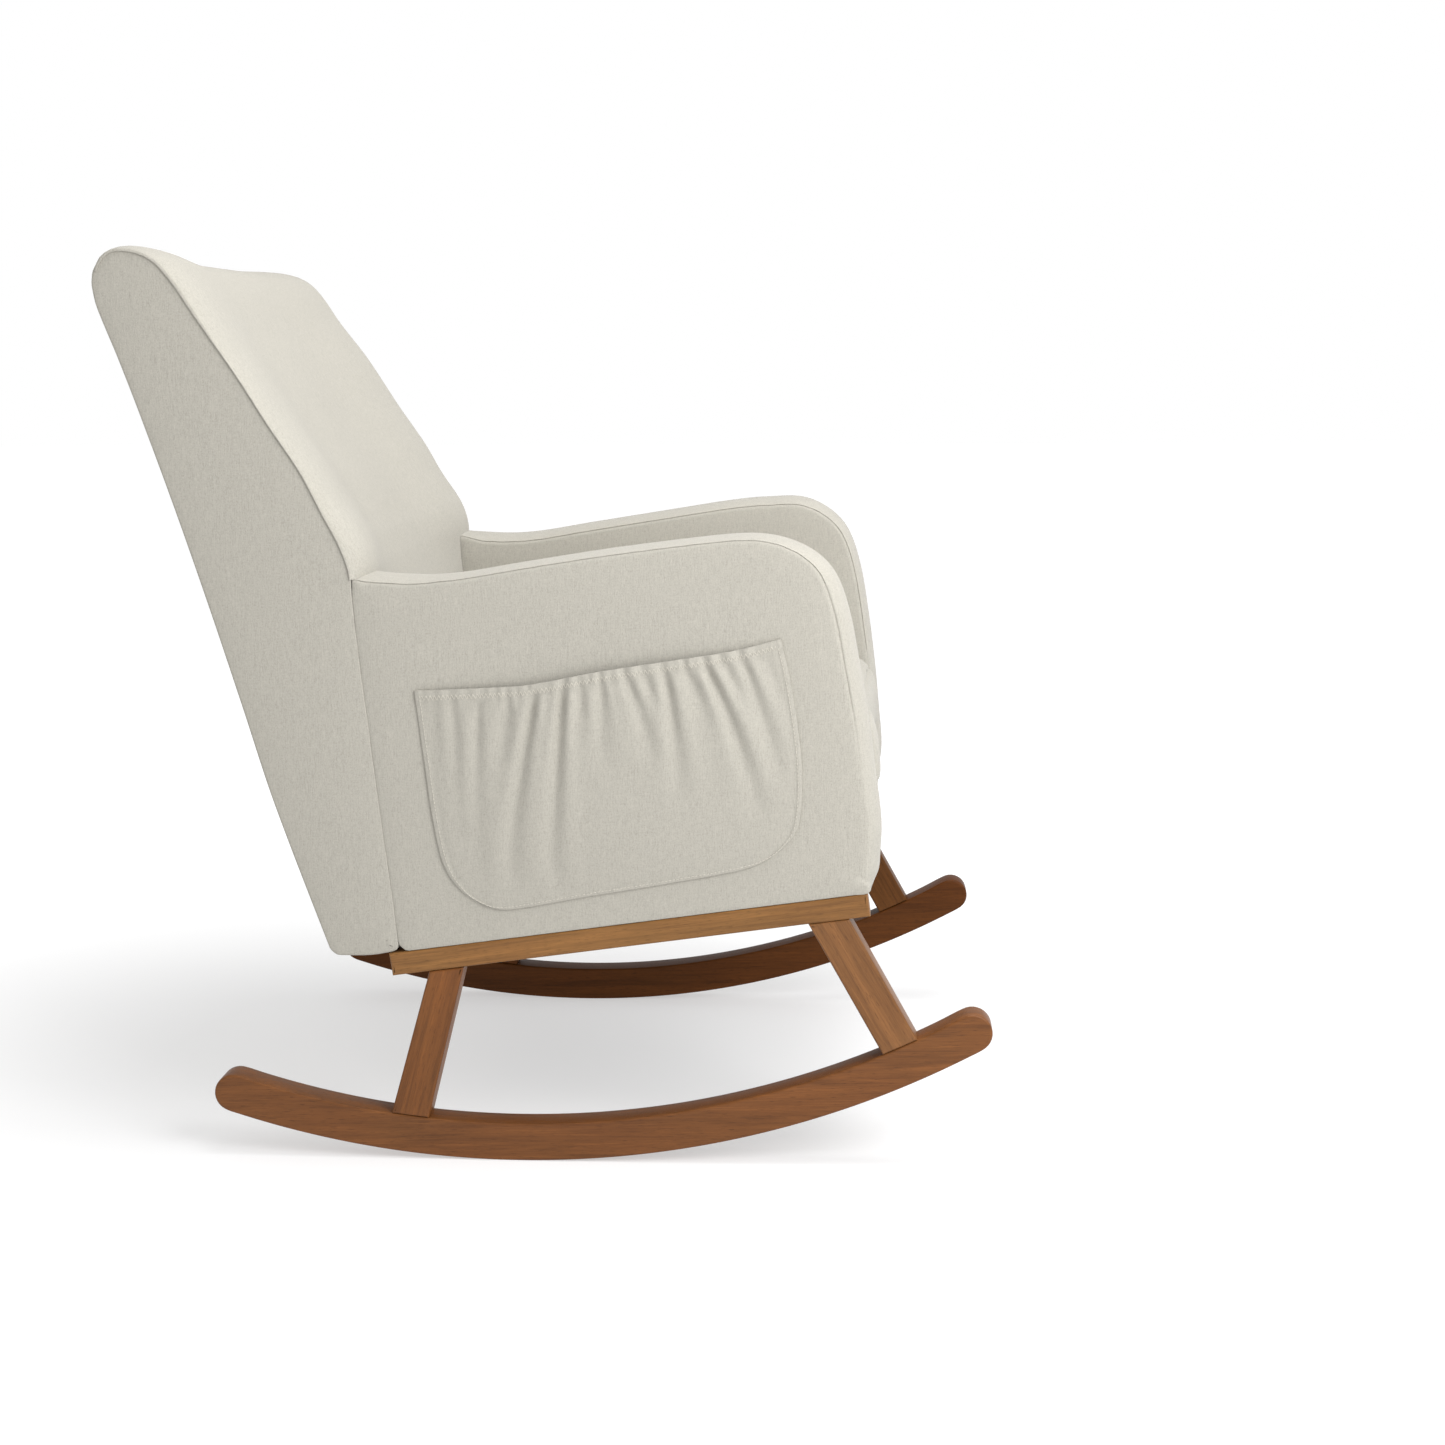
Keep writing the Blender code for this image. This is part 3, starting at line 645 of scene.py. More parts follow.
def arm_piece(side, sign, material):
    node = "arm_pad_" + side
    inner, outer = reach(node)
    outline = refine(loop_at(node, sign * (outer - CAD_EDGE)), 0.004)
    normals = outward(outline)
    outline = [p - n * stuffing(p, n, sign) for p, n in zip(outline, normals)]
    middle, half = (outer + inner) / 2, (outer - inner) / 2 - DRAW_IN
    outer_depth = [arm_seam(p, n, True) for p, n in zip(outline, normals)]
    inner_depth = [arm_seam(p, n, False) for p, n in zip(outline, normals)]
    groove = [GROOVE * (1 - 0.7 * max(tucked(n)))
              * (1 - 0.8 * smooth(0.5, 0.9, n.x) * smooth(0.10, 0.18, 0.62 - p.y))
              for p, n in zip(outline, normals)]
    bm = bmesh.new()
    rings = []

    def ring(xs, depths):
        rings.append(ring_at(bm, outline, normals, [sign * x for x in xs], depths))

    count = len(outline)
    pucker = [waver(p.x * 75, p.y * 75, 3.1 + sign) for p in outline]

    def face_rings(plane, way, depth):
        """Seam, shoulder and first rings of a face; way is +1 for the outer face."""
        for step, share, pull in ((0.0, 1.0, 1.0), (0.0005, 0.55, 1.0), (SHOULDER, 0.0, 0.97),
                                  (0.0045, 0.0, 0.83), (FACE_START, 0.0, 0.65)):
            wobble = [0.0003 * k * math.exp(-step / 0.006) * (step > 0) for k in pucker]
            yield ([plane - way * (DRAW_IN * pull + g * share + w)
                    for g, w in zip(groove, wobble)], [d + step for d in depth])

    for x, drops in reversed(list(face_rings(outer, 1, outer_depth))):
        ring(x, drops)
    for v in BAND_RINGS + tuple(-v for v in BAND_RINGS[-2::-1]):
        crown = (1 - abs(v) ** 2.3) ** 0.72
        depth = outer_depth if v > 0 else inner_depth
        swell = [0.00035 * k * smooth(0.6, 0.95, abs(v)) for k in pucker]
        ring([middle + v * half] * count,
             [d * (1 - crown) + s for d, s in zip(depth, swell)])
    for x, drops in face_rings(inner, -1, inner_depth):
        ring(x, drops)
    join_rings(bm, rings)
    for end, plane, way in ((rings[0], outer, 1), (rings[-1], inner, -1)):
        fill(bm, end, lambda d, f, z, plane=plane, way=way:
             sign * (plane - way * face_depth(d + FACE_START, f, z, 2.0 * sign)))
    padded_piece("arm_cover_" + side, bm, material, 75, node)


# -------- back
# distance from the wing's front edge back to its outer seam, by height
SEAM_BACK = ((0.640, 0.0008), (0.650, 0.0026), (0.678, 0.0080), (0.713, 0.0105), (0.761, 0.0090),
             (0.809, 0.0076), (0.850, 0.0067), (0.905, 0.0078), (0.943, 0.0088), (0.962, 0.0085),
             (0.975, 0.0063), (0.985, 0.0045))


def wing_seam(point, normal):
    """Distance from the wing's crown down to its outer seam."""
    ahead = smooth(-0.75, 0.10, normal.x)
    return 0.0030 * (1 - ahead) + curve_value(SEAM_BACK, point.y) * ahead


def settle(x, point):
    """Hand-stuffed wings: the left tip has settled a little lower than the right one."""
    tip = smooth(0.865, 0.935, point.y)
    return tip * (0.0050 * smooth(0.10, 0.28, x) - 0.0020 * smooth(0.10, 0.28, -x))


def wing_outline(spacing=0.004):
    return refine(loop_at("wing_left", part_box("wing_left")[1].x - CAD_EDGE), spacing)


BAND_HALF = 0.329  # outer seam of the back
BAND_END = 0.6385  # the wing's front ends here, on top of the arm
WING_DRAW = DRAW_IN * 0.8
WING_START = 0.010  # like FACE_START, for the outer face of a wing


def wing_side(side, sign, material):
    """Outer side panel of the back; its rear edge turns the corner onto the rear cover."""
    node = "wing_" + side
    inner, outer = reach(node)
    outline = wing_outline()
    normals = outward(outline)
    pucker = [waver(p.x * 75, p.y * 75, 8.7 + sign) for p in outline]
    hold, round_r = [], []
    for p, n in zip(outline, normals):
        rear = smooth(0.35, 0.75, -n.x) * (1 - smooth(0.955, 0.975, p.y))
        foot = smooth(0.5, 0.8, -n.y)
        plain = max(rear, foot, 1 - smooth(BAND_END - 0.002, BAND_END + 0.006, p.y))
        beside_arm = smooth(0.5, 0.9, n.x) * smooth(0.010, 0.030, BAND_END - p.y)
        hold.append((wing_seam(p, n) + 0.0003) * (1 - plain) + settle(sign * outer, p)
                    - 0.0005 * beside_arm)
        round_r.append(0.0011 + 0.0023 * rear + 0.0025 * foot)
    bm = bmesh.new()
    rings = []

    def ring(xs, depths):
        rings.append(ring_at(bm, outline, normals, [sign * x for x in xs], depths))

    for extra in (WING_START, 0.0045):
        pull = WING_DRAW * math.exp(-extra / DRAW_REACH)
        ring([outer - pull - 0.00025 * k * math.exp(-extra / 0.006) for k in pucker],
             [h + r + extra for h, r in zip(hold, round_r)])
    for inward, below in rounding(1.0, 6):
        ring([outer - WING_DRAW - r * inward for r in round_r],
             [h + r * below for h, r in zip(hold, round_r)])
    for gap, extra in ((0.0030, 0.0), (0.0009, 0.0009), (0.0, 0.0030)):
        ring([inner + gap] * len(outline), [h + extra for h in hold])
    join_rings(bm, rings)
    fill(bm, rings[0], lambda d, f, z:
         sign * (outer - WING_DRAW * math.exp(-(d + WING_START) / DRAW_REACH)
                 - waver(f * 8, z * 6, sign * 5.0) * 0.0006
                 * (1 - math.exp(-d / 0.03))))
    fill(bm, rings[-1], lambda d, f, z: sign * inner, 0.02)
    padded_piece("back_side_" + side, bm, material, 60, node)


CROWN_X = 0.290  # crown line of a wing
PAD_HALF = 0.2416  # half width of the padding between the wings
HOLLOW_FLAT = 0.070  # half width of the level middle of the inner back
HOLLOW_EDGE = 0.285  # where the hollow reaches the wing's crown
FLARE = 0.0140  # how far the cover swells forward beside and above the arm's end
BACK_TOP = Vector((-0.4683, 0.9515))  # the inside back starts here, at the rear
BACK_FOOT = 0.300  # and ends at this height, down its front
BACK_FRONT = -0.30  # forward of this the wing's outline is its front, not its rear


def bowl(x):
    """Share of the hollow's full depth: level in the middle, then one long easy rise."""
    across = min(1.0, max(0.0, (abs(x) - HOLLOW_FLAT) / (HOLLOW_EDGE - HOLLOW_FLAT)))
    return 0.5 + 0.5 * math.cos(math.pi * across)


def table_slope(table, j):
    """Slope at one row of a table of (x, value) pairs, level at turning points."""
    if j <= 0 or j >= len(table) - 1:
        return 0.0
    (x0, y0), (x1, y1), (x2, y2) = table[j - 1:j + 2]
    one, two = (y1 - y0) / (x1 - x0), (y2 - y1) / (x2 - x1)
    return 0.0 if one * two <= 0 else 2 * one * two / (one + two)


def curve_value(table, x):
    """Smooth curve through (x, value) pairs without overshoot."""
    i = next((i for i in range(len(table) - 2) if x <= table[i + 1][0]), len(table) - 2)
    (x0, y0), (x1, y1) = table[i], table[i + 1]
    span = x1 - x0
    u = min(1.0, max(0.0, (x - x0) / span))
    return hermite(y0, y1, table_slope(table, i) * span, table_slope(table, i + 1) * span, u)


def ray_depth(border, origin, way):
    """Signed distance from origin along way to the nearest side of an outline."""
    best = None
    for a, b in zip(border, border[1:] + border[:1]):
        side = b - a
        det = way.x * -side.y + side.x * way.y
        if abs(det) < 1e-12:
            continue
        gap = a - origin
        t = (gap.x * -side.y + side.x * gap.y) / det
        u = (way.x * gap.y - way.y * gap.x) / det
        if -0.001 <= u <= 1.001 and -0.06 < t < 0.12 and (best is None or t < best):
            best = t
    return best


def back_rows():
    """Rows of the inside back from the top down: (point, normal), and the hollow's depth."""
    outline = wing_outline(0.006)
    normals = outward(outline)
    index = min(range(len(outline)), key=lambda i: (outline[i] - BACK_TOP).length) - 1
    rows = []
    while outline[index].y >= BACK_FOOT or outline[index].x <= BACK_FRONT:
        rows.append((outline[index], normals[index]))
        index -= 1
    pad = loop_at("back_pad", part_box("back_pad")[1].x)
    hollow = [ray_depth(pad, point, -normal) or 0.015 for point, normal in rows]
    for _ in range(12):
        hollow = [(hollow[max(i - 1, 0)] + 2 * h + hollow[min(i + 1, len(hollow) - 1)]) / 4
                  for i, h in enumerate(hollow)]
    for i in range(1, len(rows)):
        (above, lean_above), (under, lean_under) = rows[i - 1], rows[i]
        if under.y < BAND_END < above.y and under.x > BACK_FRONT:
            share = (above.y - BAND_END) / (above.y - under.y)
            rows.insert(i, (above.lerp(under, share), lean_above.lerp(lean_under, share)))
            hollow.insert(i, hollow[i - 1] * (1 - share) + hollow[i] * share)
            break
    return rows, hollow


def make_inside_back(material):
    """One cover from outer seam to outer seam: crowned wings and the hollow between them."""
    rows, hollow = back_rows()
    side = []
    for (point, _), deep in zip(rows, hollow):
        low = smooth(0.48, 0.60, point.y)
        swell = FLARE * (1 - smooth(0.640, 0.735, point.y))
        side.append(deep * (1 - low) - swell * low)

    stations = [0.0, 0.03, 0.06, 0.09, 0.115, 0.135, 0.155, 0.172, 0.188, 0.203, 0.216, 0.228,
                0.2365, PAD_HALF, 0.248, 0.256, 0.264, 0.272, 0.280, 0.288, 0.296, 0.304,
                0.311, 0.317, 0.3215, 0.3245, 0.3265, 0.3280, BAND_HALF]
    last_pad = stations.index(PAD_HALF)
    xs = [-x for x in reversed(stations[1:])] + stations
    middle = len(stations) - 1

    def drop(x, row):
        """Depth of the cover below the wing's crown line."""
        point, normal = rows[row]
        seam = wing_seam(point, normal)
        sag = settle(x, point)
        x = abs(x)
        v = min(1.0, max(0.0, (x - CROWN_X) / (BAND_HALF - CROWN_X)))
        crown = (1 - v ** 2.2) ** 0.75
        depth = hollow[row] * bowl(x) + side[row] * (1 - bowl(x)) * crown + seam * (1 - crown)
        fade = smooth(0.02, 0.06, BAND_HALF - x)
        soft = waver(x * 7, point.x * 6, point.y * 6) * 0.0006 * fade
        return depth + soft + sag

    bm = bmesh.new()
    face, rear = {}, {}
    for j, (point, normal) in enumerate(rows):
        seam = wing_seam(point, normal)
        for i, x in enumerate(xs):
            column = abs(i - middle)
            if column > last_pad and point.y < BAND_END - 1e-6 and point.x > BACK_FRONT:
                continue
            depth = drop(x, j)
            lip = 0.0005 + 0.0080 * smooth(0.0, 0.040, BAND_HALF - abs(x))
            under = max(depth + lip, seam + 0.0005) if column > last_pad else depth + 0.010
            for store, amount in ((face, depth), (rear, under)):
                p = point - normal * amount
                store[j, i] = bm.verts.new((x, -p.x, p.y))
    rim = {}
    for (j, i) in face:
        square = [(j, i), (j, i + 1), (j + 1, i + 1), (j + 1, i)]
        if not all(k in face for k in square):
            continue
        bm.faces.new([face[k] for k in square])
        bm.faces.new([rear[k] for k in reversed(square)])
        for a, b in zip(square, square[1:] + square[:1]):
            key = tuple(sorted((a, b)))
            rim[key] = rim.get(key, 0) + 1
    for (a, b), uses in rim.items():
        if uses == 1:
            bm.faces.new((face[a], face[b], rear[b], rear[a]))
    padded_piece("inside_back", bm, material, 80, "back_pad")


REAR_FOOT = Vector((-0.247, 0.246))  # a point of the back's rear plane, near its foot
REAR_LOW, REAR_HIGH = -0.017, 0.7456  # ends of the rear cover, along the lean from there
REAR_THICK, REAR_ROUND = 0.0098, 0.0045


def shares(close, start, count):
    """Shares from 0 to 1: even in the middle and close together near both ends."""
    middle = [start + (1 - 2 * start) * k / count for k in range(count + 1)]
    return [*close, *middle, *(1 - c for c in reversed(close))]


def make_rear_cover(material):
    """Flat cover over the rear of the back, between the side panels, with a rounded edge."""
    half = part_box("back_panel")[1].x
    along = Vector((-math.sin(BACK_LEAN), math.cos(BACK_LEAN)))
    ahead = Vector((math.cos(BACK_LEAN), math.sin(BACK_LEAN)))
    width, height = 2 * half, REAR_HIGH - REAR_LOW
    us = shares((0, 0.003, 0.008, 0.016), 0.03, 44)
    vs = shares((0, 0.002, 0.006, 0.012), 0.025, 56)

    def rear_depth(u, v):
        edge = min(u * width, (1 - u) * width, v * height, (1 - v) * height)
        slope = 1 - min(1, edge / REAR_ROUND)
        round_off = REAR_ROUND * (1 - math.sqrt(1 - slope ** 2))
        depth = round_off * 0.8 + 0.0018 * math.exp(-edge / 0.02)
        depth += waver(u * 4, v * 5, 7.7) * 0.0008 * smooth(0, 0.05, edge)
        return min(depth, REAR_THICK - 0.001)

    bm = bmesh.new()
    grids = []
    for depth_at in (rear_depth, lambda u, v: REAR_THICK):
        grid = []
        for v in vs:
            line = REAR_FOOT + along * (REAR_LOW + height * v)
            spots = [line + ahead * depth_at(u, v) for u in us]
            grid.append([bm.verts.new((half * (2 * u - 1), -p.x, p.y))
                         for u, p in zip(us, spots)])
        grids.append(grid)
    shell(bm, grids)
    padded_piece("rear_cover", bm, material, 60, "back_panel")


# -------- side pockets
# the four sides of a pocket as (forward, height); each starts at the mouth or at the rear
POCKET_TOP = [(-0.143, 0.521), (-0.062, 0.525), (-0.016, 0.529), (0.056, 0.543), (0.141, 0.556),
              (0.197, 0.565), (0.245, 0.577)]
POCKET_REAR = [(-0.143, 0.521), (-0.135, 0.449), (-0.127, 0.382), (-0.116, 0.331),
               (-0.096, 0.302), (-0.070, 0.287)]
POCKET_FRONT = [(0.245, 0.577), (0.256, 0.528), (0.266, 0.457), (0.267, 0.405), (0.260, 0.370),
                (0.236, 0.344)]
POCKET_LOW = [(-0.070, 0.287), (-0.044, 0.284), (0.038, 0.299), (0.124, 0.314), (0.204, 0.330),
              (0.236, 0.344)]
POCKET_LIFT = 0.0070  # how far the mouth stands off the arm
POCKET_CLOTH = 0.0014
POCKET_INNER = 0.0012  # the inside lies this much nearer the arm than the lift
HEM = 0.045  # share of the pocket's height that is hem
STITCH_INSET = 2  # rows of the pocket's grid between its edge and the stitches
FOLD_DEPTH = 1.8  # how much deeper the folds are than the table says
# gathers: share along the mouth, share at the fold's end, how far down it runs, depth in mm
FOLDS = ((0.045, 0.030, 0.55, 0.5), (0.105, 0.060, 0.80, 0.9), (0.180, 0.090, 0.85, 1.3),
         (0.262, 0.205, 0.36, 1.6), (0.340, 0.165, 0.88, 3.0), (0.412, 0.285, 0.92, 3.2),
         (0.462, 0.420, 0.30, 1.5), (0.510, 0.475, 0.42, 1.9), (0.572, 0.615, 0.44, 2.2),
         (0.625, 0.640, 0.30, 1.3), (0.682, 0.668, 0.62, 2.8), (0.730, 0.775, 0.34, 1.6),
         (0.782, 0.880, 0.74, 3.1), (0.832, 0.880, 0.30, 1.3), (0.882, 0.935, 0.60, 2.2),
         (0.945, 0.965, 0.30, 0.8))


def smooth_line(points, count):
    """Evenly spaced points on a smooth open curve through the given ones."""
    dense = []
    last = len(points) - 1
    for i in range(last):
        p0, p1 = Vector(points[max(i - 1, 0)]), Vector(points[i])
        p2, p3 = Vector(points[i + 1]), Vector(points[min(i + 2, last)])
        for k in range(12):
            u = k / 12
            dense.append(0.5 * (2 * p1 + (p2 - p0) * u + (2 * p0 - 5 * p1 + 4 * p2 - p3) * u * u
                                + (3 * p1 - p0 - 3 * p2 + p3) * u ** 3))
    dense.append(Vector(points[-1]))
    flat = np.array([tuple(p) for p in dense])
    run = np.concatenate(([0.0], np.cumsum(np.linalg.norm(np.diff(flat, axis=0), axis=1))))
    want = np.linspace(0, run[-1], count + 1)
    return np.stack([np.interp(want, run, flat[:, k]) for k in (0, 1)], 1)


class Pocket:
    """Surface of one gathered pocket: u runs from rear to front, v from mouth to foot."""

    def __init__(self, across=170, down=96):
        self.across, self.down = across, down
        top, low = smooth_line(POCKET_TOP, across), smooth_line(POCKET_LOW, across)
        rear, front = smooth_line(POCKET_REAR, down), smooth_line(POCKET_FRONT, down)
        u = np.linspace(0, 1, across + 1)[None, :, None]
        v = np.linspace(0, 1, down + 1)[:, None, None]
        flat = (1 - v) * top[None] + v * low[None] + (1 - u) * rear[:, None] + u * front[:, None]
        flat -= ((1 - u) * (1 - v) * top[0] + u * (1 - v) * top[-1]
                 + (1 - u) * v * low[0] + u * v * low[-1])
        self.flat = flat
        self.u, self.v = u[..., 0], v[..., 0]
        self.lift = self.height()

    def height(self):
        u, v = self.u, self.v
        bulge = POCKET_LIFT * np.sin(math.pi * u) ** 0.8 * np.cos(math.pi / 2 * v) ** 1.1
        belly = 0.0040 * np.sin(math.pi * u) * np.sin(math.pi * np.clip(v, 0, 1)) ** 1.2
        folds = np.zeros_like(bulge)
        for top, end, run, deep in FOLDS:
            share = np.clip(v / run, 0, 1)
            centre = top + (end - top) * share ** 0.85
            width = 0.0100 * (1 + 1.6 * share)
            away = (u - centre) / width
            grow = np.clip(v / 0.10, 0.25, 1) * (1 - share) ** 0.75
            valley = -np.exp(-away ** 2) + 0.55 * np.exp(-((away - 1.9) / 1.3) ** 2)
            valley += 0.45 * np.exp(-((away + 2.0) / 1.5) ** 2)
            folds += FOLD_DEPTH * deep / 1000 * grow * valley
        ripple = 0.0008 * np.sin(TAU * (u * 27 + 0.35 * np.sin(TAU * u * 4))) * np.exp(-v / 0.07)
        hem = 0.0007 * (1 - np.clip((v - HEM) / 0.012, 0, 1))
        edge = np.minimum(np.minimum(u, 1 - u) * 0.39, (1 - v) * 0.25)
        flatten = np.clip(edge / 0.014, 0, 1)
        flatten = flatten * flatten * (3 - 2 * flatten)
        body = (bulge + belly + folds + ripple * np.sin(math.pi * u) ** 0.3) * flatten
        turned = 0.0009 * np.exp(-((edge - 0.0035) / 0.0025) ** 2)
        return np.maximum(body, 0.0) + hem + turned

    def mesh(self, sign, base, material, name):
        bm = bmesh.new()
        grids = []
        for out in (np.maximum(0.0, self.lift - POCKET_INNER), self.lift + POCKET_CLOTH):
            grids.append([[bm.verts.new((sign * (base + out[j, i]), -f, z))
                           for i, (f, z) in enumerate(line)]
                          for j, line in enumerate(self.flat)])
        shell(bm, grids)
        return new_object(name, bm, material, 60)


def stitches(name, runs, radius, material):
    """Small thread tubes, one for each pair of points, with their middles raised."""
    bm = bmesh.new()
    sides = 6
    for start, end, out in runs:
        way = (end - start).normalized()
        side = way.cross(out).normalized()
        rings = []
        for share, width, raise_by in ((0.0, 0.35, -0.4), (0.12, 0.85, 0.25), (0.5, 1.0, 0.55),
                                       (0.88, 0.85, 0.25), (1.0, 0.35, -0.4)):
            centre = start.lerp(end, share) + out * radius * raise_by
            rings.append([bm.verts.new(centre + (side * math.cos(TAU * k / sides)
                                                 + out * math.sin(TAU * k / sides))
                                       * radius * width) for k in range(sides)])
        join_rings(bm, rings)
        bm.faces.new(rings[0])
        bm.faces.new(rings[-1])
    place_piece(new_object(name, bm, material))


def dashes(points, out, length, gap):
    """Stitch ends along a line of 3-D points."""
    runs, along, start, inked = [], 0.0, points[0], True
    for a, b in zip(points, points[1:]):
        here, rest = a, (b - a).length
        while rest > 0:
            need = (length if inked else gap) - along
            if rest < need:
                along += rest
                break
            here = here + (b - here).normalized() * need
            rest -= need
            along = 0.0
            if inked:
                runs.append((start, here, out))
            else:
                start = here
            inked = not inked
    return runs


def make_pockets(material, sewing):
    shape = Pocket()
    last_i, last_j = shape.across - STITCH_INSET, shape.down - STITCH_INSET
    upper, lower = round(shape.down * 0.022), round(shape.down * 0.034) + 1
    for side, sign in SIDES:
        base = reach("pocket_" + side)[0]
        pocket = shape.mesh(sign, base, material, "pocket_cloth_" + side)
        place_piece(pocket, ["pocket_" + side])
        out = Vector((sign, 0, 0))

        def at(i, j, sign=sign, base=base):
            f, z = shape.flat[j, i]
            return Vector((sign * (base + shape.lift[j, i] + POCKET_CLOTH), -f, z))

        outline = [at(STITCH_INSET, j) for j in range(2, last_j)]
        outline += [at(i, last_j) for i in range(STITCH_INSET, last_i + 1)]
        outline += [at(last_i, j) for j in range(last_j, 1, -1)]
        line = [at(i, upper if i % 2 else lower) for i in range(3, shape.across - 2)]
        runs = dashes(outline, out, 0.0030, 0.0011)
        runs += [(a, b, out) for a, b in zip(line, line[1:])]
        stitches("pocket_stitches_" + side, runs, 0.00042, sewing)


# -------- seat
def points_of(mesh):
    return np.array([v.co for v in mesh.vertices])


def move_points(mesh, points):
    mesh.vertices.foreach_set("co", points.astype(np.float32).ravel())


def remeshed(obj, voxel):
    """New mesh of even quads over the object's shape."""
    step = obj.modifiers.new("even", "REMESH")
    step.mode = "VOXEL"
    step.voxel_size = voxel
    graph = bpy.context.evaluated_depsgraph_get()
    mesh = bpy.data.meshes.new_from_object(obj.evaluated_get(graph))
    obj.modifiers.clear()
    obj.data = mesh


def spread(mesh, move, rounds):
    """Average a vertex displacement with its neighbours', so creases from buckling go."""
    pairs = np.array([edge.vertices[:] for edge in mesh.edges])
    ends = np.concatenate((pairs, pairs[:, ::-1]))
    count = np.bincount(ends[:, 0], minlength=len(move))[:, None]
    for _ in range(rounds):
        total = np.zeros_like(move)
        np.add.at(total, ends[:, 0], move[ends[:, 1]])
        move = 0.4 * move + 0.6 * total / np.maximum(count, 1)
    return move


CLOTH = {"quality": 5, "mass": 0.35, "tension_stiffness": 18, "compression_stiffness": 18,
         "shear_stiffness": 6, "bending_stiffness": 0.6, "use_pressure": True,
         "uniform_pressure_force": 4.0}
CLOTH_FRAMES = 20
CLOTH_CAP = 0.024  # no point of the cover moves further than this
CLOTH_ROUNDS = 40  # rounds of averaging after the simulation


def inflate(obj):
    """Blow the cover up by cloth simulation."""
    rest = points_of(obj.data)
    cloth = obj.modifiers.new("cloth", "CLOTH")
    for key, value in CLOTH.items():
        setattr(cloth.settings, key, value)
    cloth.settings.effector_weights.gravity = 0
    cloth.collision_settings.use_collision = False
    cloth.collision_settings.use_self_collision = False
    cloth.point_cache.frame_start = 1
    cloth.point_cache.frame_end = CLOTH_FRAMES
    scene = bpy.context.scene
    for number in range(1, CLOTH_FRAMES + 1):
        scene.frame_set(number)
    graph = bpy.context.evaluated_depsgraph_get()
    move = points_of(obj.evaluated_get(graph).data) - rest
    obj.modifiers.clear()
    scene.frame_set(1)
    size = np.linalg.norm(move, axis=1, keepdims=True)
    move *= np.minimum(1.0, CLOTH_CAP / np.maximum(size, 1e-9))
    move_points(obj.data, rest + spread(obj.data, move, CLOTH_ROUNDS))
    obj.data.update()


SEAT_AHEAD = np.array([0.0, -math.cos(SEAT_TILT), math.sin(SEAT_TILT)])
SEAT_UP = np.array([0.0, math.sin(SEAT_TILT), math.cos(SEAT_TILT)])
BORDER_SEAMS = (0.020, 0.030)  # from the cushion's underside and from its top
SEAM_REACH = 0.0016


def make_seat_cushion(material):
    """Boxed seat cushion: foam block under a cover that swells between its border seams."""
    node = "seat_cushion"
    cushion = add_object("seat_cushion_cover", NODES[node].data.copy())
    start = points_of(cushion.data)
    s, t = start @ SEAT_AHEAD, start @ SEAT_UP
    rear, front, under, top = s.min(), s.max(), t.min(), t.max()
    half = abs(start[:, 0]).max()
    start[:, 0] *= 0.985
    start -= np.outer((t - (under + top) / 2) * 0.08, SEAT_UP)
    move_points(cushion.data, start)
    bm = bmesh.new()
    bm.from_mesh(cushion.data)
    bmesh.ops.remove_doubles(bm, verts=bm.verts, dist=1e-5)
    bm.to_mesh(cushion.data)
    bm.free()
    remeshed(cushion, 0.006)
    inflate(cushion)

    co = points_of(cushion.data)
    s, t = co @ SEAT_AHEAD, co @ SEAT_UP
    co[:, 0] *= half / abs(co[:, 0]).max()
    co += np.outer(np.clip(t, under + 0.0002, top + 0.012) - t, SEAT_UP)
    co += np.outer(np.clip(s, rear, front + 0.004) - s, SEAT_AHEAD)
    move_points(cushion.data, co)
    bm = bmesh.new()
    bm.from_mesh(cushion.data)
    for _ in range(4):
        bmesh.ops.smooth_vert(bm, verts=bm.verts, factor=0.5,
                              use_axis_x=True, use_axis_y=True, use_axis_z=True)
    bmesh.ops.subdivide_edges(bm, edges=bm.edges, cuts=1, use_grid_fill=True, smooth=0.5)
    way = Vector(SEAT_UP)
    levels = (under + BORDER_SEAMS[0], top - BORDER_SEAMS[1])
    for level in levels:
        for offset in (-1.4 * SEAM_REACH, 0.0, 1.4 * SEAM_REACH):
            everything = bm.verts[:] + bm.edges[:] + bm.faces[:]
            bmesh.ops.bisect_plane(bm, geom=everything, dist=1e-6,
                                   plane_co=way * (level + offset), plane_no=way)
    bm.normal_update()
    for vert in bm.verts:
        away = min(abs(vert.co.dot(way) - level) for level in levels)
        upright = 1 - smooth(0.6, 0.9, abs(vert.normal.dot(way)))
        dip = GROOVE * math.exp(-(away / SEAM_REACH) ** 2) + 0.0012 * math.exp(-away / 0.008)
        vert.co -= vert.normal * dip * upright
    bm.to_mesh(cushion.data)
    bm.free()
    cushion.data.shade_smooth()
    cushion.data.materials.clear()
    cushion.data.materials.append(material)
    place_piece(cushion, [node], "cushion")


BAR_ROUND = 0.004
BAR_BELOW = 0.0006  # the cover lies this far inside the CAD outline


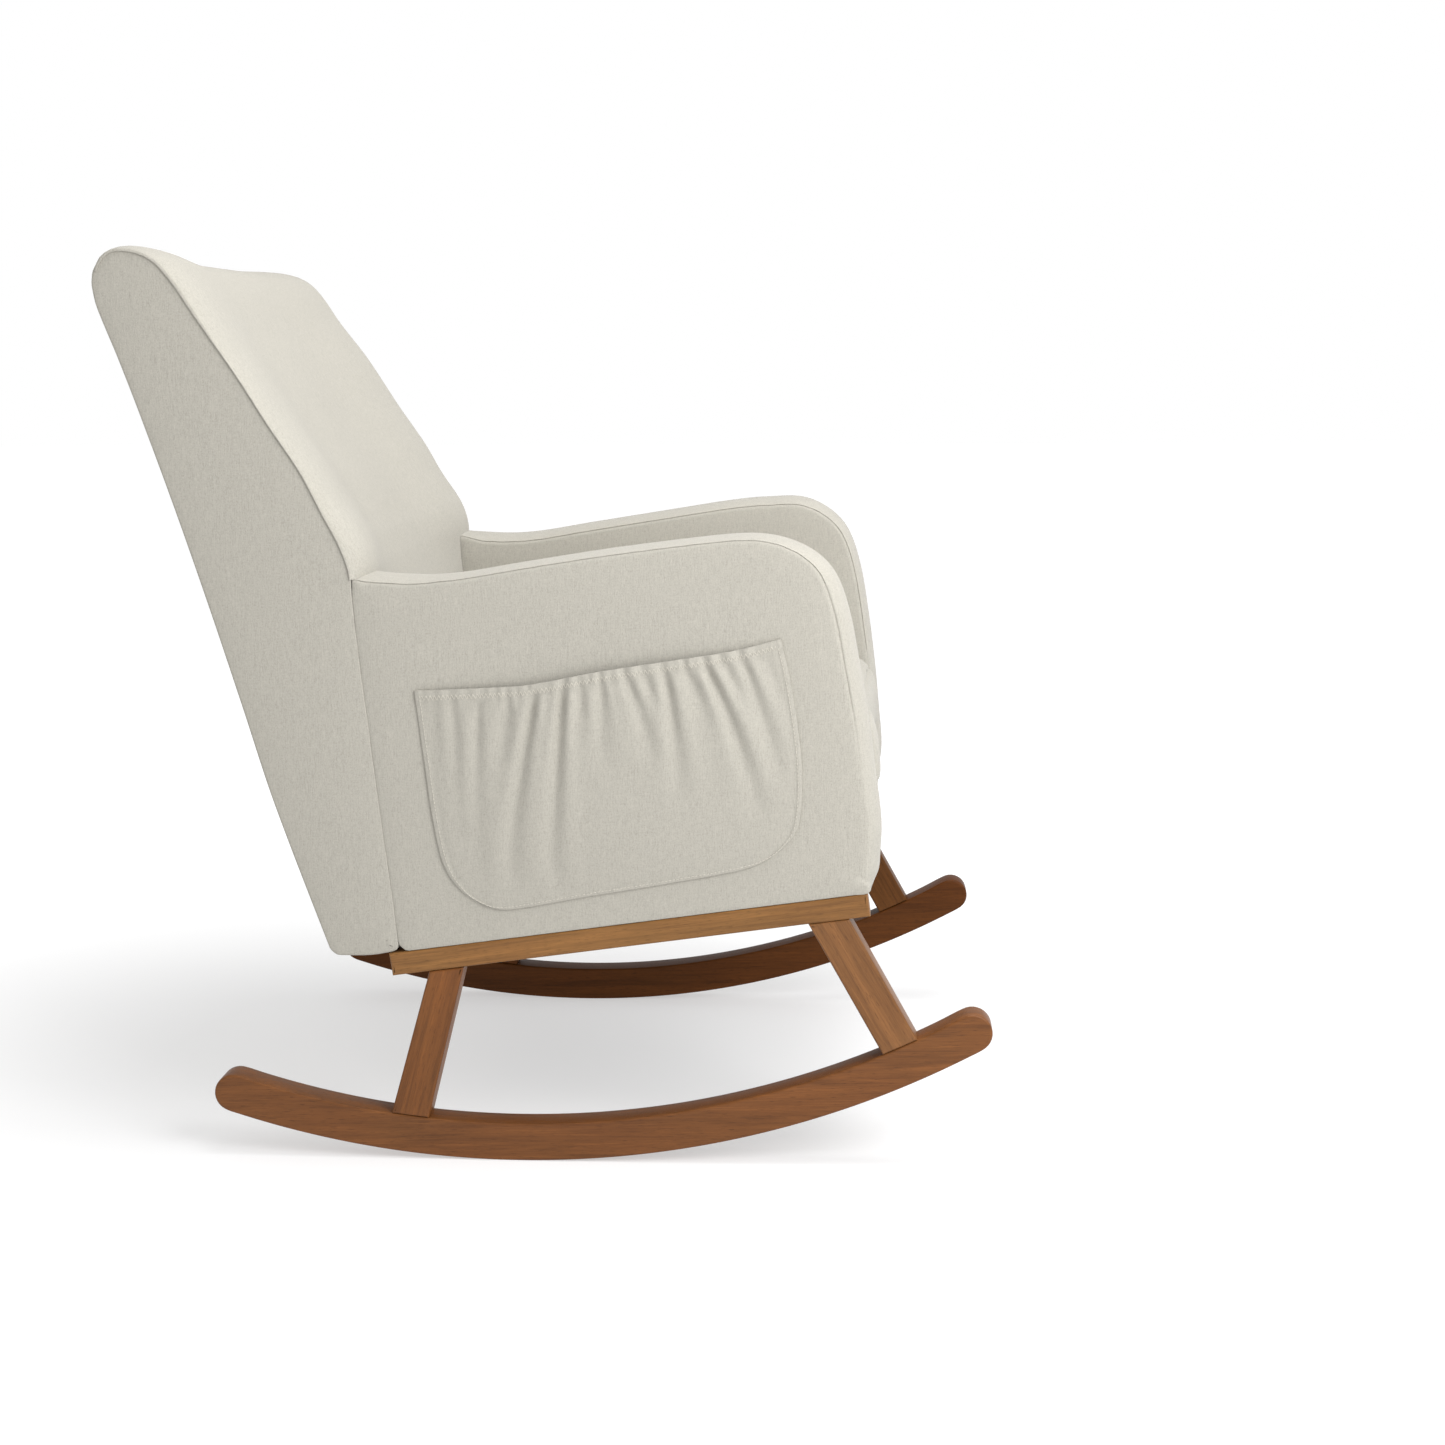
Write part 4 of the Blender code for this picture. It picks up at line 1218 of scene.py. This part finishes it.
def soft_bar(node, name, material, crown):
    """Upholstered bar across the chair with rounded ends and a crowned middle."""
    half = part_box(node)[1].x
    outline = refine(loop_at(node, half), 0.006)
    normals = outward(outline)
    ends = [(dx - half, depth) for dx, depth in rounding(BAR_ROUND, 5)]
    stops = ends + [(-half + BAR_ROUND + (2 * half - 2 * BAR_ROUND) * k / 24, 0.0)
                    for k in range(1, 24)]
    stops += [(-x, depth) for x, depth in reversed(ends)]
    bm = bmesh.new()
    rings = []
    for x, depth in stops:
        depths = []
        for p, n in zip(outline, normals):
            grow = crown * (1 - (x / half) ** 8) * max(0.0, n.x)
            wave = waver(x * 14, p.x * 20, p.y * 20) * 0.0006
            depths.append(depth - grow + wave + BAR_BELOW)
        rings.append(ring_at(bm, outline, normals, [x] * len(outline), depths))
    join_rings(bm, rings, capped=True)
    padded_piece(name, bm, material, 60, node)


def make_dust_sheet(material):
    """Thin lining stretched under the seat and stapled to its frame."""
    node = "dust_cover"
    low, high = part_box(node)
    corners = sorted(loop_at(node, high.x), key=lambda p: p.x)
    rear = (corners[0] + corners[1]) / 2
    front = (corners[-2] + corners[-1]) / 2
    down = Vector((math.sin(SEAT_TILT), -math.cos(SEAT_TILT)))
    us, vs = ([k / count for k in range(count + 1)] for count in (48, 44))
    bm = bmesh.new()
    grids = []
    for layer in (-0.00045, 0.00045):
        grid = []
        for v in vs:
            row = []
            for u in us:
                edge = min(u, 1 - u, v, 1 - v)
                wave = waver(u * 7, v * 7, 4.4) * 0.0006
                bag = 0.0025 * (16 * u * (1 - u) * v * (1 - v)) ** 0.7
                p = rear.lerp(front, v) + down * ((bag + wave) * smooth(0, 0.1, edge) + layer)
                row.append(bm.verts.new((low.x + (high.x - low.x) * u, -p.x, p.y)))
            grid.append(row)
        grids.append(grid)
    shell(bm, grids)
    obj = new_object("dust_sheet", bm, material, 60)
    place_piece(obj, [node])


# -------- what stays as the CAD has it
def finish_frame_nodes():
    """Materials of the inner pieces, which keep their CAD meshes."""
    pine_y = wood("pine_lengthwise", (0, 0, 0), PINE, 4.1, 0.62, 0.30)
    pine_x = wood("pine_crosswise", (0, 0, math.radians(90)), PINE, 6.3, 0.62, 0.30)
    pine_z = wood("pine_upright", (math.radians(72), 0, 0), PINE, 8.9, 0.62, 0.30)
    plain = {"arm_board": wood("plywood", (0, 0, 0), PLYWOOD, 2.2, 0.66, 0.40),
             "arm_bolt": steel("bolt_steel"), "back_bolt": steel("back_bolt_steel"),
             "seat_spring": steel("spring_steel"), "back_web": webbing("jute_webbing"),
             "back_post": pine_z, "back_rail": pine_x, "corner_block": pine_x, "dowel": pine_z,
             "seat_frame_left": pine_y, "seat_frame_right": pine_y,
             "seat_frame_front": pine_x, "seat_frame_rear": pine_x}
    for name, obj in NODES.items():
        for start, mat in plain.items():
            if name.startswith(start):
                for place in obj.material_slots:
                    place.material = mat


make_camera()
make_studio()
make_woodwork()
COVER = fabric("cover_fabric_side", seed=0.3)
# painted shade: the wing panels' cover is a touch darker for the light falling off towards the
# rear of the chair
WING_SHADED_COVER = fabric("cover_fabric_wing_painted_shade", shade(CREAM, 0.985), seed=5.2)
for side, sign in SIDES:
    arm_piece(side, sign, COVER)
    wing_side(side, sign, WING_SHADED_COVER)
make_inside_back(fabric("cover_fabric_back", lean=math.radians(25), seed=1.9))
make_rear_cover(fabric("cover_fabric_rear", lean=BACK_LEAN, seed=2.7))

SEWING = two_tone("sewing_thread", 0.7, 0.3, (0.0003, 0.0003, 0.0008),
                  shade(CREAM, 1.30 * 0.85), shade(CREAM, 1.30 * 1.1), (0.0001, 0.5))
make_pockets(fabric("cover_fabric_pocket", seed=3.8), SEWING)
make_seat_cushion(fabric("cover_fabric_seat", lean=-SEAT_TILT, seed=4.6))
soft_bar("front_apron", "apron_cover", COVER, 0.0055)
soft_bar("spring_cover", "seat_deck", fabric("deck_cloth", shade(CREAM, 0.9), seed=6.1),
         0.0)
make_dust_sheet(two_tone("dust_lining", 0.9, 0.2, (0.0012, 0.0012, 0.0012),
                         (0.020, 0.020, 0.021), (0.060, 0.060, 0.062), (0.0003, 0.6)))
finish_frame_nodes()
